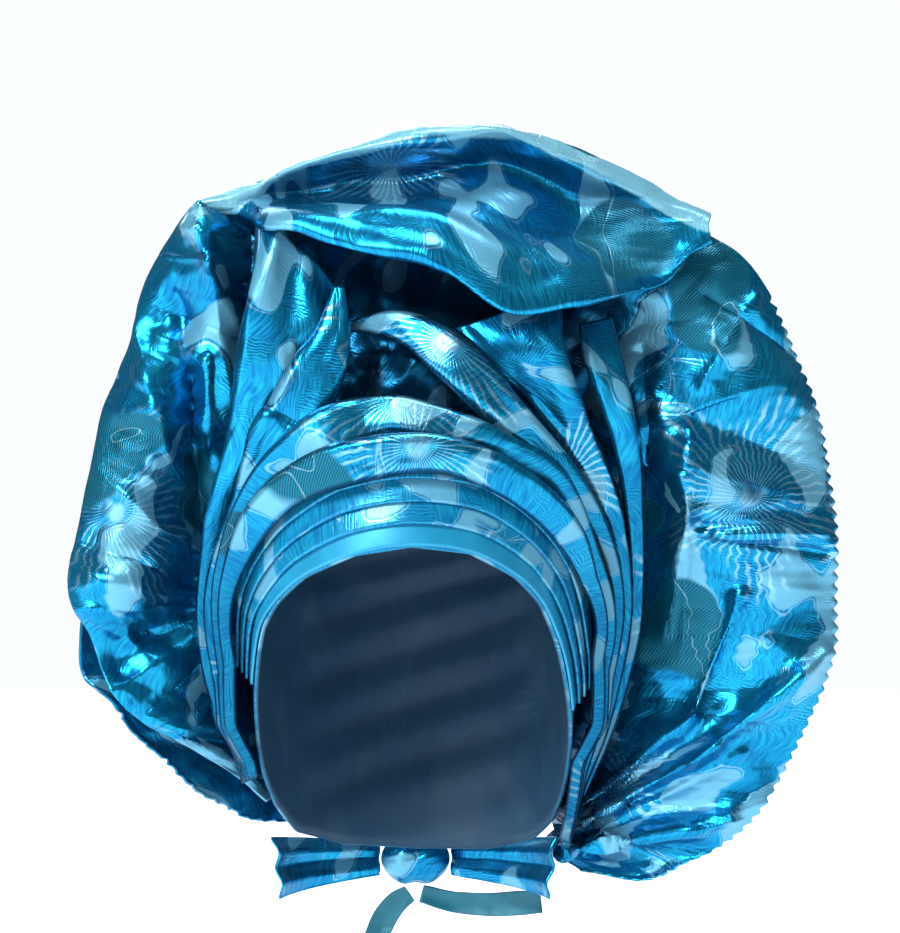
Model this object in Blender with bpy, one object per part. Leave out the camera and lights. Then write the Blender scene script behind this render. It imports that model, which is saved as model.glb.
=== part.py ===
"""Tied gele head tie.

One stiff brocade cloth is wrapped round the head as a hood, laid over the brow in flat pleats,
gathered at both temples and spread round the face as a tall fan, and its two ends are knotted
at the nape. Metres, +Z up. The front faces -Y, and +X is on the right as seen from the front.
The origin is the middle of the hood's hollow at the brow line.

Folds are charted as seen from the front. On the chart 1 is the fan's radius, x runs to the
right and z up from the brow line, and forward is a share of the wrapped head's half length.
"""

import math

import bmesh
import bpy
import numpy as np

# The hollow of the hood.
HEAD_WIDTH = 0.150
HEAD_LENGTH = 0.192
HEAD_HEIGHT = 0.096  # from the brow line to the top of the hollow
NAPE_DROP = 0.124  # from the brow line down to the hood's edge at the nape
SKULL_POWER = 2.3  # 2 is an ellipsoid, and more is a fuller crown
NECK_NARROWS = 0.10  # how much narrower the hood is at the nape than at the brow
NECK_SHORTENS = 0.30  # how much closer the back is at the nape than at the brow

# The cloth.
CLOTH = 0.0012  # a single wall
HOOD_WALL = 0.0020  # the hood, where the cloth lies double
CLEAR = 0.0007  # between two layers
SEAT = 0.0004  # between the hood and what is seated on it

# The pleats over the brow.
BROW_PLEATS = 4
PLEAT_STEP = 0.0088  # how much of each pleat shows above the one below it
PLEAT_WIDTH = 0.0190
PLEAT_END_DEG = 78.0  # how far round the hood the pleats run

# The fan.
FAN_RADIUS = 0.190
FAN_DEPTH = 0.104

# The ends at the nape.
KNOT_WIDTH = 0.034
KNOT_HEIGHT = 0.026
KNOT_DEPTH = 0.022
TIE_START_DEG = 112.0  # how far round the hood the gathered ends start
TIE_LEVEL = -1.05  # the level of the tie ends and of the knot, where -1 is the nape
TIE_HEIGHT = 0.24  # how high a tie end is where it starts, as a share of the nape's drop
TIE_NARROWS = 0.45  # how much lower it is at the knot
TIE_PLEAT = 0.0015  # half the depth of the pleats along it
TAIL_WIDTH = 0.012
TAIL_LENGTH = 0.060
TAIL_CURL = 0.0012

# The hood on the chart, an oval round its middle.
DRAWN_MIDDLE = -0.025
DRAWN_HALF_WIDTH = 0.44
DRAWN_HEIGHT = 0.53
DRAWN_DEPTH = 0.95
DRAWN_NAPE = 0.66

LAYER = CLOTH + CLEAR
WRAP = HOOD_WALL + BROW_PLEATS * LAYER
WRAPPED_HALF_WIDTH = HEAD_WIDTH / 2 + WRAP
WRAPPED_HALF_LENGTH = HEAD_LENGTH / 2 + WRAP
WRAPPED_HEIGHT = HEAD_HEIGHT + HOOD_WALL + CLEAR
FAN_REACH = (FAN_RADIUS - WRAPPED_HALF_WIDTH) / (1 - DRAWN_HALF_WIDTH)

# The hood's front edge, from the nape over the left ear, the brow and the right ear to the
# nape. Round is in degrees from the front, and level runs from -1 at the nape to 1 at the top.
HOOD_EDGE = (
    # round, level
    (-180, -1.00),
    (-150, -0.98),
    (-125, -0.92),
    (-110, -0.80),
    (-98, -0.66),
    (-85, -0.45),
    (-75, -0.26),
    (-66, -0.10),
    (-55, 0.00),
    (-40, 0.13),
    (-20, 0.235),
    (0, 0.277),
    (20, 0.245),
    (38, 0.13),
    (50, 0.00),
    (62, -0.17),
    (72, -0.34),
    (85, -0.53),
    (98, -0.73),
    (110, -0.86),
    (125, -0.95),
    (150, -1.00),
    (180, -1.00),
)

# The soft folds of the crown, each a row for a station of its crest.
CROWN_FOLDS = {
    # x, z, forward, half width, rise
    "brow_roll": (
        (-0.408, -0.450, 0.00, 0.012, 0.020),
        (-0.455, -0.250, 0.18, 0.013, 0.025),
        (-0.482, -0.050, 0.34, 0.014, 0.030),
        (-0.450, 0.100, 0.52, 0.024, 0.040),
        (-0.355, 0.250, 0.75, 0.040, 0.060),
        (-0.200, 0.340, 0.90, 0.048, 0.070),
        (-0.010, 0.372, 0.96, 0.046, 0.070),
        (0.150, 0.335, 0.91, 0.044, 0.070),
        (0.275, 0.240, 0.77, 0.038, 0.060),
        (0.375, 0.100, 0.55, 0.026, 0.040),
        (0.430, -0.050, 0.34, 0.014, 0.030),
        (0.402, -0.250, 0.15, 0.013, 0.025),
        (0.362, -0.450, 0.00, 0.012, 0.020),
        (0.300, -0.610, -0.12, 0.010, 0.018),
    ),
    "crown_roll": (
        (-0.414, -0.455, -0.05, 0.012, 0.020),
        (-0.475, -0.250, 0.12, 0.013, 0.025),
        (-0.502, -0.020, 0.29, 0.014, 0.030),
        (-0.465, 0.150, 0.46, 0.022, 0.040),
        (-0.370, 0.325, 0.65, 0.034, 0.050),
        (-0.220, 0.420, 0.80, 0.060, 0.080),
        (-0.090, 0.472, 0.84, 0.044, 0.060),
        (0.030, 0.448, 0.85, 0.042, 0.060),
        (0.170, 0.390, 0.80, 0.036, 0.060),
        (0.307, 0.305, 0.66, 0.032, 0.050),
        (0.400, 0.130, 0.47, 0.022, 0.040),
        (0.452, -0.050, 0.29, 0.014, 0.030),
        (0.422, -0.250, 0.09, 0.013, 0.025),
        (0.375, -0.450, -0.06, 0.012, 0.020),
        (0.308, -0.620, -0.165, 0.010, 0.018),
    ),
    "left_rise": (
        (-0.200, 0.780, 0.58, 0.014, 0.030),
        (-0.215, 0.665, 0.64, 0.044, 0.060),
        (-0.245, 0.580, 0.65, 0.068, 0.080),
        (-0.305, 0.470, 0.62, 0.066, 0.080),
        (-0.380, 0.350, 0.53, 0.042, 0.060),
        (-0.450, 0.220, 0.42, 0.026, 0.040),
        (-0.510, 0.050, 0.28, 0.016, 0.030),
        (-0.520, -0.080, 0.19, 0.013, 0.025),
        (-0.492, -0.250, 0.080, 0.013, 0.025),
        (-0.420, -0.460, -0.10, 0.012, 0.020),
    ),
    "left_panel": (
        (-0.305, 0.880, 0.44, 0.100, 0.060),
        (-0.330, 0.740, 0.50, 0.094, 0.070),
        (-0.370, 0.600, 0.49, 0.072, 0.070),
        (-0.425, 0.440, 0.42, 0.044, 0.050),
        (-0.480, 0.280, 0.34, 0.030, 0.040),
        (-0.530, 0.080, 0.22, 0.017, 0.030),
        (-0.542, -0.080, 0.13, 0.014, 0.025),
        (-0.510, -0.250, 0.034, 0.013, 0.025),
        (-0.426, -0.465, -0.15, 0.012, 0.020),
    ),
    "arch_fold": (
        (-0.155, 0.690, 0.54, 0.012, 0.030),
        (-0.035, 0.680, 0.66, 0.040, 0.060),
        (0.070, 0.612, 0.74, 0.057, 0.080),
        (0.180, 0.500, 0.72, 0.048, 0.070),
        (0.275, 0.400, 0.63, 0.037, 0.060),
        (0.350, 0.310, 0.54, 0.029, 0.050),
        (0.430, 0.170, 0.40, 0.020, 0.040),
        (0.474, -0.010, 0.24, 0.014, 0.030),
        (0.441, -0.250, 0.036, 0.013, 0.025),
        (0.386, -0.450, -0.112, 0.012, 0.020),
        (0.315, -0.630, -0.202, 0.010, 0.018),
    ),
    "right_rise": (
        (0.195, 0.720, 0.50, 0.140, 0.060),
        (0.240, 0.630, 0.56, 0.105, 0.070),
        (0.300, 0.530, 0.54, 0.068, 0.070),
        (0.350, 0.450, 0.49, 0.052, 0.060),
        (0.410, 0.350, 0.41, 0.036, 0.050),
        (0.465, 0.200, 0.31, 0.022, 0.040),
        (0.496, 0.000, 0.18, 0.014, 0.030),
        (0.462, -0.250, -0.03, 0.013, 0.025),
        (0.398, -0.450, -0.166, 0.012, 0.020),
        (0.322, -0.635, -0.242, 0.010, 0.018),
    ),
    "right_roll": (
        (0.420, 0.700, 0.40, 0.040, 0.050),
        (0.445, 0.590, 0.44, 0.044, 0.060),
        (0.475, 0.460, 0.43, 0.036, 0.060),
        (0.500, 0.340, 0.37, 0.028, 0.050),
        (0.517, 0.200, 0.28, 0.019, 0.040),
        (0.523, 0.050, 0.15, 0.016, 0.030),
        (0.518, -0.080, 0.06, 0.014, 0.025),
        (0.482, -0.250, -0.09, 0.013, 0.025),
        (0.413, -0.450, -0.238, 0.012, 0.020),
        (0.332, -0.640, -0.30, 0.010, 0.018),
    ),
}

# How many layers each fold lies outside the hood where it passes the temples.
FOLD_ORDER = {
    "brow_roll": 0,
    "crown_roll": 1,
    "left_rise": 2,
    "left_panel": 3,
    "arch_fold": 2,
    "right_rise": 3,
    "right_roll": 4,
}

# The spokes of each wing of the fan, from its inner edge to its rim, and how far it is full.
LEFT_WING = (
    # inner x, inner z, inner forward, rim x, rim z, rim forward, fullness
    (-0.395, 0.905, 0.12, -0.552, 1.000, 0.20, 0.04),
    (-0.385, 0.838, 0.10, -0.592, 0.955, 0.15, 0.10),
    (-0.390, 0.750, 0.08, -0.650, 0.875, 0.12, 0.14),
    (-0.405, 0.650, 0.07, -0.697, 0.780, 0.10, 0.17),
    (-0.425, 0.538, 0.06, -0.722, 0.675, 0.10, 0.18),
    (-0.435, 0.425, 0.02, -0.760, 0.562, 0.10, 0.18),
    (-0.445, 0.312, 0.00, -0.797, 0.462, 0.10, 0.18),
    (-0.445, 0.200, -0.05, -0.822, 0.338, 0.10, 0.18),
    (-0.440, 0.100, -0.12, -0.848, 0.212, 0.12, 0.19),
    (-0.425, 0.000, -0.20, -0.870, 0.100, 0.15, 0.19),
    (-0.415, -0.080, -0.24, -0.867, 0.008, 0.18, 0.17),
    (-0.410, -0.162, -0.28, -0.822, -0.080, 0.20, 0.14),
    (-0.405, -0.240, -0.31, -0.772, -0.215, 0.20, 0.08),
    (-0.395, -0.315, -0.35, -0.697, -0.298, 0.14, 0.06),
    (-0.385, -0.385, -0.39, -0.605, -0.355, 0.00, 0.02),
    (-0.378, -0.450, -0.42, -0.485, -0.442, -0.20, 0.01),
    (-0.365, -0.505, -0.44, -0.395, -0.520, -0.26, 0.00),
)
RIGHT_WING = (
    (0.540, 0.900, 0.14, 0.690, 0.925, 0.17, 0.00),
    (0.500, 0.800, 0.18, 0.787, 0.862, 0.18, 0.06),
    (0.450, 0.700, 0.13, 0.862, 0.758, 0.14, 0.10),
    (0.430, 0.580, 0.09, 0.927, 0.612, 0.12, 0.14),
    (0.405, 0.450, 0.05, 0.980, 0.462, 0.10, 0.16),
    (0.395, 0.300, -0.02, 1.015, 0.300, 0.08, 0.18),
    (0.385, 0.150, -0.15, 1.030, 0.138, 0.06, 0.18),
    (0.375, 0.000, -0.25, 1.030, -0.012, 0.05, 0.17),
    (0.365, -0.130, -0.30, 1.025, -0.130, 0.06, 0.15),
    (0.357, -0.260, -0.36, 0.965, -0.288, 0.04, 0.13),
    (0.350, -0.370, -0.41, 0.907, -0.420, 0.00, 0.11),
    (0.342, -0.460, -0.46, 0.830, -0.545, -0.02, 0.09),
    (0.333, -0.545, -0.50, 0.737, -0.625, -0.02, 0.07),
    (0.325, -0.600, -0.52, 0.650, -0.665, -0.03, 0.05),
    (0.318, -0.640, -0.54, 0.550, -0.710, -0.08, 0.03),
    (0.310, -0.665, -0.54, 0.400, -0.700, -0.30, 0.00),
)
BACK_LAYER = (
    # inner x, inner z, inner forward, rim x, rim z, rim forward, fullness
    (-0.330, -0.555, -0.58, -0.358, -0.577, -0.50, 0.00),
    (-0.340, -0.490, -0.58, -0.450, -0.565, -0.34, 0.00),
    (-0.355, -0.400, -0.56, -0.538, -0.515, -0.22, 0.00),
    (-0.370, -0.280, -0.52, -0.650, -0.412, -0.10, 0.00),
    (-0.380, -0.150, -0.47, -0.775, -0.270, -0.02, 0.00),
    (-0.383, 0.000, -0.44, -0.853, -0.180, -0.02, 0.00),
    (-0.380, 0.150, -0.42, -0.850, 0.010, -0.05, 0.00),
    (-0.355, 0.250, -0.41, -0.810, 0.200, -0.06, 0.00),
    (-0.315, 0.340, -0.40, -0.770, 0.400, -0.06, 0.00),
    (-0.265, 0.405, -0.39, -0.720, 0.600, -0.05, 0.00),
    (-0.215, 0.455, -0.38, -0.655, 0.800, -0.02, 0.00),
    (-0.160, 0.480, -0.38, -0.545, 0.960, 0.06, 0.00),
    (-0.110, 0.495, -0.38, -0.425, 1.042, 0.13, 0.00),
    (-0.060, 0.500, -0.38, -0.300, 1.102, 0.155, 0.00),
    (-0.020, 0.500, -0.38, -0.175, 1.142, 0.178, 0.00),
    (0.020, 0.500, -0.38, -0.050, 1.186, 0.180, 0.00),
    (0.070, 0.495, -0.38, 0.075, 1.192, 0.180, 0.00),
    (0.120, 0.480, -0.38, 0.200, 1.184, 0.195, 0.00),
    (0.170, 0.455, -0.38, 0.350, 1.142, 0.200, 0.00),
    (0.220, 0.405, -0.39, 0.475, 1.086, 0.190, 0.00),
    (0.270, 0.335, -0.40, 0.575, 1.025, 0.150, 0.00),
    (0.310, 0.250, -0.41, 0.640, 0.930, 0.080, 0.00),
)

# Ridges and valleys that run across the wings, from one point of the chart to another.
LEFT_CREASES = (
    # x, z, to x, to z, forward, reach at the start, reach at the end
    (-0.550, 0.990, -0.470, 0.520, 0.10, 0.05, 0.08),
    (-0.600, 0.760, -0.545, 0.150, -0.10, 0.05, 0.04),
    (-0.860, 0.080, -0.560, 0.000, 0.08, 0.12, 0.04),
    (-0.720, -0.130, -0.570, -0.040, -0.07, 0.07, 0.04),
    (-0.690, -0.280, -0.490, -0.410, 0.05, 0.05, 0.02),
)
RIGHT_CREASES = (
    # x, z, to x, to z, forward, reach at the start, reach at the end
    (0.650, 0.380, 0.640, -0.080, 0.12, 0.05, 0.08),
    (0.730, 0.165, 1.030, 0.140, 0.05, 0.03, 0.05),
    (0.550, 0.440, 0.790, 0.520, 0.05, 0.06, 0.05),
    (0.340, -0.610, 0.690, -0.285, 0.06, 0.01, 0.05),
    (0.360, -0.600, 0.940, -0.190, 0.08, 0.01, 0.05),
    (0.360, -0.640, 0.780, -0.390, 0.06, 0.01, 0.04),
    (0.350, -0.660, 0.850, -0.510, 0.05, 0.01, 0.04),
)
BACK_CREASES = (
    # x, z, to x, to z, forward, reach at the start, reach at the end
    (-0.320, 0.480, -0.640, 0.780, 0.04, 0.04, 0.08),
    (-0.110, 0.580, -0.230, 0.960, -0.05, 0.04, 0.08),
    (0.110, 0.580, 0.170, 0.880, 0.04, 0.04, 0.07),
    (0.310, 0.450, 0.530, 0.950, -0.05, 0.04, 0.08),
    (-0.470, 0.100, -0.820, 0.100, -0.05, 0.04, 0.08),
    (-0.450, -0.300, -0.700, -0.330, 0.04, 0.04, 0.07),
)

# The fold that falls over from the top of the fan, a row for each station from left to right:
# the heights of its rim, brow, hollow, crease, belly and lip, and how far forward each lies.
TOP_FOLD = (
    # x, z: rim, brow, hollow, crease, belly, lip; forward: rim, brow, hollow, crease, belly, lip
    (-0.470, 1.022, 1.010, 0.998, 0.990, 0.982, 0.975, 0.20, 0.23, 0.23, 0.23, 0.22, 0.21),
    (-0.420, 1.045, 1.030, 1.010, 0.995, 0.975, 0.955, 0.16, 0.22, 0.20, 0.22, 0.28, 0.30),
    (-0.375, 1.068, 1.055, 1.025, 1.000, 0.965, 0.930, 0.15, 0.25, 0.23, 0.29, 0.45, 0.52),
    (-0.300, 1.102, 1.085, 1.035, 0.995, 0.958, 0.915, 0.18, 0.30, 0.25, 0.31, 0.52, 0.62),
    (-0.175, 1.142, 1.120, 1.055, 1.002, 0.938, 0.870, 0.20, 0.33, 0.26, 0.32, 0.55, 0.68),
    (-0.050, 1.186, 1.135, 1.070, 1.010, 0.930, 0.847, 0.20, 0.36, 0.27, 0.33, 0.57, 0.72),
    (0.062, 1.192, 1.155, 1.085, 1.005, 0.900, 0.807, 0.20, 0.36, 0.28, 0.35, 0.60, 0.76),
    (0.200, 1.184, 1.165, 1.095, 0.995, 0.845, 0.712, 0.22, 0.34, 0.28, 0.38, 0.62, 0.80),
    (0.350, 1.142, 1.100, 1.030, 0.955, 0.845, 0.735, 0.22, 0.34, 0.28, 0.34, 0.55, 0.70),
    (0.475, 1.088, 1.045, 0.985, 0.910, 0.830, 0.760, 0.22, 0.32, 0.28, 0.33, 0.46, 0.55),
    (0.575, 1.033, 1.000, 0.960, 0.900, 0.830, 0.782, 0.22, 0.30, 0.28, 0.32, 0.40, 0.44),
    (0.640, 0.995, 0.972, 0.945, 0.912, 0.875, 0.850, 0.24, 0.28, 0.28, 0.31, 0.36, 0.38),
    (0.700, 0.958, 0.946, 0.934, 0.922, 0.910, 0.898, 0.25, 0.28, 0.30, 0.31, 0.32, 0.32),
)

# The cloth at the bottom of the crown's hollows, a row for each level.
CROWN_FLOOR = (
    # z, left x, right x, forward at the middle, forward at the sides
    (0.480, -0.300, 0.290, 0.42, 0.24),
    (0.620, -0.350, 0.380, 0.40, 0.24),
    (0.700, -0.360, 0.420, 0.31, 0.19),
    (0.800, -0.355, 0.450, 0.21, 0.15),
    (0.880, -0.350, 0.470, 0.15, 0.13),
    (0.950, -0.340, 0.490, 0.13, 0.12),
)

# The free ends below the knot, in shares of the tail's length, with the width as a share too.
TAILS = {
    # across, back, down, width
    "tail_right": (
        (0.05, 0.00, 0.00, 0.70),
        (0.30, 0.04, 0.07, 0.85),
        (0.60, 0.00, 0.09, 0.95),
        (0.85, -0.08, 0.07, 1.00),
        (1.03, -0.16, 0.05, 0.90),
    ),
    "tail_left": (
        (-0.05, 0.00, 0.00, 0.70),
        (-0.16, 0.04, 0.08, 0.90),
        (-0.26, 0.06, 0.22, 1.00),
        (-0.34, 0.04, 0.40, 0.95),
    ),
}


def smooth(rows, samples):
    """The rows of a table as a smooth run of that many samples through them."""
    table = np.array(rows, float)
    ends = np.vstack([2 * table[0] - table[1], table, 2 * table[-1] - table[-2]])
    at = np.linspace(0, len(table) - 1, samples)
    first = np.minimum(at.astype(int), len(table) - 2)
    t = (at - first)[:, None]
    before, start, end, after = (ends[first + k] for k in range(4))
    return (
        start
        + t * (end - before) / 2
        + t**2 * (2 * before - 5 * start + 4 * end - after) / 2
        + t**3 * (3 * start - before - 3 * end + after) / 2
    )


def on_chart(x, z, forward):
    """The real place of a point of the chart. Inside the hood's outline it follows the hood, and
    outside it spreads to the fan's radius."""
    x = x - DRAWN_MIDDLE
    drawn_up = np.where(z >= 0, DRAWN_HEIGHT, DRAWN_DEPTH)
    real_up = np.where(z >= 0, WRAPPED_HEIGHT, NAPE_DROP * DRAWN_DEPTH / DRAWN_NAPE)
    out = np.sqrt((x / DRAWN_HALF_WIDTH) ** 2 + (z / drawn_up) ** 2)
    inside = 1 / np.maximum(out, 1)
    place_x = x * inside / DRAWN_HALF_WIDTH * WRAPPED_HALF_WIDTH + x * (1 - inside) * FAN_REACH
    place_z = z * inside / drawn_up * real_up + z * (1 - inside) * FAN_REACH
    fan_share = np.clip(out - 1, 0, 1)
    depth = WRAPPED_HALF_LENGTH + (FAN_DEPTH - WRAPPED_HALF_LENGTH) * fan_share
    return np.stack([place_x, -forward * depth, place_z], axis=-1)


def on_head(round_deg, level, lift):
    """A point lift outside the hollow, round_deg from the front and at a level from -1 at the nape
    to 1 at the top."""
    up = np.clip(level, 0, 1)
    down = np.clip(-level, 0, 1.2)
    angle = np.radians(round_deg)
    ring = (1 - up**SKULL_POWER) ** (1 / SKULL_POWER)
    narrow = 1 - NECK_NARROWS * down**2
    behind = np.clip(-np.cos(angle), 0, 1)
    shorten = 1 - NECK_SHORTENS * down**2 * behind
    place_x = (HEAD_WIDTH / 2 + lift) * ring * narrow * np.sin(angle)
    place_y = -(HEAD_LENGTH / 2 + lift) * ring * shorten * np.cos(angle)
    place_z = up * (HEAD_HEIGHT + lift) - down * NAPE_DROP
    return np.stack([place_x, place_y, place_z], axis=-1)


def material(name, colour, roughness, metallic):
    made = bpy.data.materials.new(name)
    made.use_nodes = True
    shader = made.node_tree.nodes["Principled BSDF"]
    shader.inputs["Base Color"].default_value = (*colour, 1.0)
    shader.inputs["Roughness"].default_value = roughness
    shader.inputs["Metallic"].default_value = metallic
    return made


def cloth_wall(name, points, finish, wall=CLOTH, closed=False):
    """A wall of cloth through a grid of points. It is joined to itself where it is closed, and
    thickened to both sides."""
    lengths, widths = points.shape[:2]
    shape = bmesh.new()
    bmesh.ops.create_grid(shape, x_segments=widths - 1, y_segments=lengths - 1, size=1)
    shape.verts.ensure_lookup_table()
    for corner, place in zip(shape.verts, points.reshape(-1, 3)):
        corner.co = place
    if closed:
        bmesh.ops.remove_doubles(shape, verts=shape.verts, dist=0.00005)
    mesh = bpy.data.meshes.new(name)
    shape.to_mesh(mesh)
    shape.free()
    mesh.shade_smooth()
    mesh.materials.append(finish)
    piece = bpy.data.objects.new(name, mesh)
    bpy.context.scene.collection.objects.link(piece)
    thicken = piece.modifiers.new("Cloth", "SOLIDIFY")
    thicken.thickness = wall
    thicken.offset = 0
    return piece


def hood_edge(samples):
    """The hood's front edge as arc length and height, with its normal that points back over the hood."""
    rows = smooth(HOOD_EDGE, 240)
    rows = rows[np.abs(rows[:, 0]) <= PLEAT_END_DEG]
    mean_radius = (HEAD_WIDTH + HEAD_LENGTH) / 4
    across = np.radians(rows[:, 0]) * mean_radius
    height = np.where(rows[:, 1] >= 0, rows[:, 1] * HEAD_HEIGHT, rows[:, 1] * NAPE_DROP)
    line = np.stack([across, height], axis=1)
    run = np.concatenate([[0], np.cumsum(np.linalg.norm(np.diff(line, axis=0), axis=1))])
    at = np.linspace(0, run[-1], samples)
    line = np.stack([np.interp(at, run, line[:, k]) for k in range(2)], axis=1)
    along = np.gradient(line, axis=0)
    along /= np.linalg.norm(along, axis=1)[:, None]
    return line, np.stack([-along[:, 1], along[:, 0]], axis=1)


def from_edge(offset, lift, samples):
    """The line that runs offset above the hood's edge. The pleats close up towards the nape."""
    line, normal = hood_edge(samples)
    mean_radius = (HEAD_WIDTH + HEAD_LENGTH) / 4
    round_share = np.abs(line[:, 0]) / (math.pi * mean_radius)
    closing = 1 - 0.75 * np.clip((round_share - 0.12) / 0.5, 0, 1)
    moved = line + normal * (offset * closing)[:, None]
    level = np.where(moved[:, 1] >= 0, moved[:, 1] / HEAD_HEIGHT, moved[:, 1] / NAPE_DROP)
    return on_head(np.degrees(moved[:, 0] / mean_radius), level, lift)


def hood(finish):
    """The wrapped hood: a dome that comes down behind the ears to the nape and is open in front."""
    rounds, levels = 38, 10
    edge = np.array(HOOD_EDGE, float)
    angles = np.linspace(-180, 180, rounds + 1)
    low = np.interp(angles, edge[:, 0], edge[:, 1])
    rise = np.linspace(0, 1, levels + 1)
    grid = []
    for share in rise:
        level = low + (1 - low) * math.sin(share * math.pi / 2) ** 0.9
        grid.append(on_head(angles, np.minimum(level, 0.9995), HOOD_WALL / 2))
    points = np.array(grid)
    points[-1] = points[-1].mean(axis=0)
    return cloth_wall("head_wrap", points, finish, HOOD_WALL, closed=True)


def brow_pleat(number, finish):
    """One flat pleat over the brow. Each lies over the one below it and shows a step of its width."""
    lift = HOOD_WALL + CLEAR + CLOTH / 2 + (number - 1) * LAYER
    low = (number - 1) * PLEAT_STEP
    lines = [
        from_edge(low + share * PLEAT_WIDTH, lift, 29)
        for share in (0.0, 0.5, 1.0)
    ]
    return cloth_wall(f"brow_pleat_{number}", np.array(lines).transpose(1, 0, 2), finish)


def out_of_head(points, layers):
    """How many times further from the hood's axis each point has to be, to lie over the hood, the
    brow pleats and that many layers more."""
    x, y, z = points[..., 0], points[..., 1], points[..., 2]
    before_ears = np.clip(1 - y / (0.12 * HEAD_LENGTH), 0, 1)
    below_top = np.clip((0.90 - z / HEAD_HEIGHT) / 0.10, 0, 1)
    pleats = BROW_PLEATS * np.clip((z / NAPE_DROP + 0.62) / 0.15, 0, 1) * before_ears * below_top
    beside = layers * np.clip((0.30 - z / HEAD_HEIGHT) / 0.40, 0, 1)
    lift = HOOD_WALL + SEAT + CLOTH / 2 + LAYER * (pleats + beside) + CLEAR * pleats / BROW_PLEATS
    up = np.clip(z / (HEAD_HEIGHT + lift), 0, 0.999)
    down = np.clip(-z / NAPE_DROP, 0, 1.2)
    ring = (1 - up**SKULL_POWER) ** (1 / SKULL_POWER)
    narrow = 1 - NECK_NARROWS * down**2
    shorten = 1 - NECK_SHORTENS * down**2 * (y > 0)
    across = x / (HEAD_WIDTH / 2 + lift) / narrow
    behind = y / (HEAD_LENGTH / 2 + lift) / shorten
    return np.maximum(ring / np.maximum(np.hypot(across, behind), 0.05), 1)


def moved_out(points, times):
    """The points moved straight out from the hood's axis."""
    return points * np.stack([times, times, np.ones_like(times)], axis=-1)


def soft_fold(name, rows, finish, layers, lengths=18, sides=6, turn_deg=105.0):
    """One soft fold of cloth, a long roll that is open behind. Its crest follows the rows and its
    two sides turn back."""
    x, z, forward, half_width, rise = smooth(rows, lengths).T
    along = np.stack([np.gradient(x), np.gradient(z)], axis=1)
    along /= np.linalg.norm(along, axis=1)[:, None]
    grid = []
    for turn in np.radians(np.linspace(-turn_deg, turn_deg, sides + 1)):
        side = half_width * math.sin(turn)
        back = rise * (1 - math.cos(turn))
        grid.append(on_chart(x - along[:, 1] * side, z + along[:, 0] * side, forward - back))
    points = np.array(grid).transpose(1, 0, 2)
    times = out_of_head(points, layers).max(axis=1, keepdims=True)
    return cloth_wall(name, moved_out(points, np.repeat(times, sides + 1, axis=1)), finish)


def creased(x, z, creases):
    """How far the creases push a point of the chart forward."""
    forward = np.zeros_like(x)
    for from_x, from_z, to_x, to_z, height, narrow, wide in creases:
        run_x, run_z = to_x - from_x, to_z - from_z
        length = math.hypot(run_x, run_z)
        along = ((x - from_x) * run_x + (z - from_z) * run_z) / length**2
        aside = np.abs((x - from_x) * run_z - (z - from_z) * run_x) / length
        reach = narrow + (wide - narrow) * np.clip(along, 0, 1)
        past = np.maximum(np.maximum(-along, along - 1), 0) * length
        forward += height * np.exp(-((aside / reach) ** 2) - (past / reach) ** 2)
    return forward


def wing(name, spokes, creases, finish, lengths, widths):
    """A spread sheet of the fan. Spokes run from its inner edge to its rim, full between them, with
    creases across it."""
    rows = smooth(spokes, lengths)
    grid = []
    for out in np.linspace(0, 1, widths + 1):
        x = rows[:, 0] * (1 - out) + rows[:, 3] * out
        z = rows[:, 1] * (1 - out) + rows[:, 4] * out
        full = rows[:, 6] * math.sin(math.pi * out**1.7)
        forward = rows[:, 2] * (1 - out) + rows[:, 5] * out + full
        grid.append(on_chart(x, z, forward + creased(x, z, creases)))
    points = np.array(grid).transpose(1, 0, 2)
    return cloth_wall(name, moved_out(points, out_of_head(points, 0)), finish)


def top_fold(finish, lengths=22):
    """The sheet that falls over from the top of the fan: rim, brow, hollow, crease, belly, lip and
    its tucked edge."""
    rows = smooth(TOP_FOLD, lengths)
    x, heights, forwards = rows[:, 0], rows[:, 1:7], rows[:, 7:13]
    tucked_height = heights[:, 5] + (heights[:, 4] - heights[:, 5]) / 2
    tucked_forward = forwards[:, 5] * 0.72
    heights = np.column_stack([heights, tucked_height])
    forwards = np.column_stack([forwards, tucked_forward])
    down = smooth(np.stack([heights.T, forwards.T], axis=2).reshape(7, -1), 12)
    down = down.reshape(12, lengths, 2)
    grid = [on_chart(x, row[:, 0], row[:, 1]) for row in down]
    return cloth_wall("top_fold", np.array(grid).transpose(1, 0, 2), finish)


def crown_floor(finish, lengths=10, widths=10):
    """The cloth behind the crown's folds, arched from side to side, that starts on the hood."""
    z, left, right, middle, sides = smooth(CROWN_FLOOR, lengths).T
    grid = []
    for share in np.linspace(0, 1, widths + 1):
        arch = math.sin(math.pi * share)
        grid.append(on_chart(left + (right - left) * share, z, sides + (middle - sides) * arch))
    points = np.array(grid).transpose(1, 0, 2)
    return cloth_wall("crown_floor", moved_out(points, out_of_head(points, 0)), finish)


def knot_place():
    """The middle of the knot, which stands clear of the hood where its top is."""
    middle = on_head(180.0, TIE_LEVEL, 0.0)
    top_level = TIE_LEVEL + KNOT_HEIGHT / 2 / NAPE_DROP
    top = on_head(180.0, top_level, HOOD_WALL + CLEAR + KNOT_DEPTH / 2)
    return np.array([0.0, top[1], middle[2]])


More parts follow.
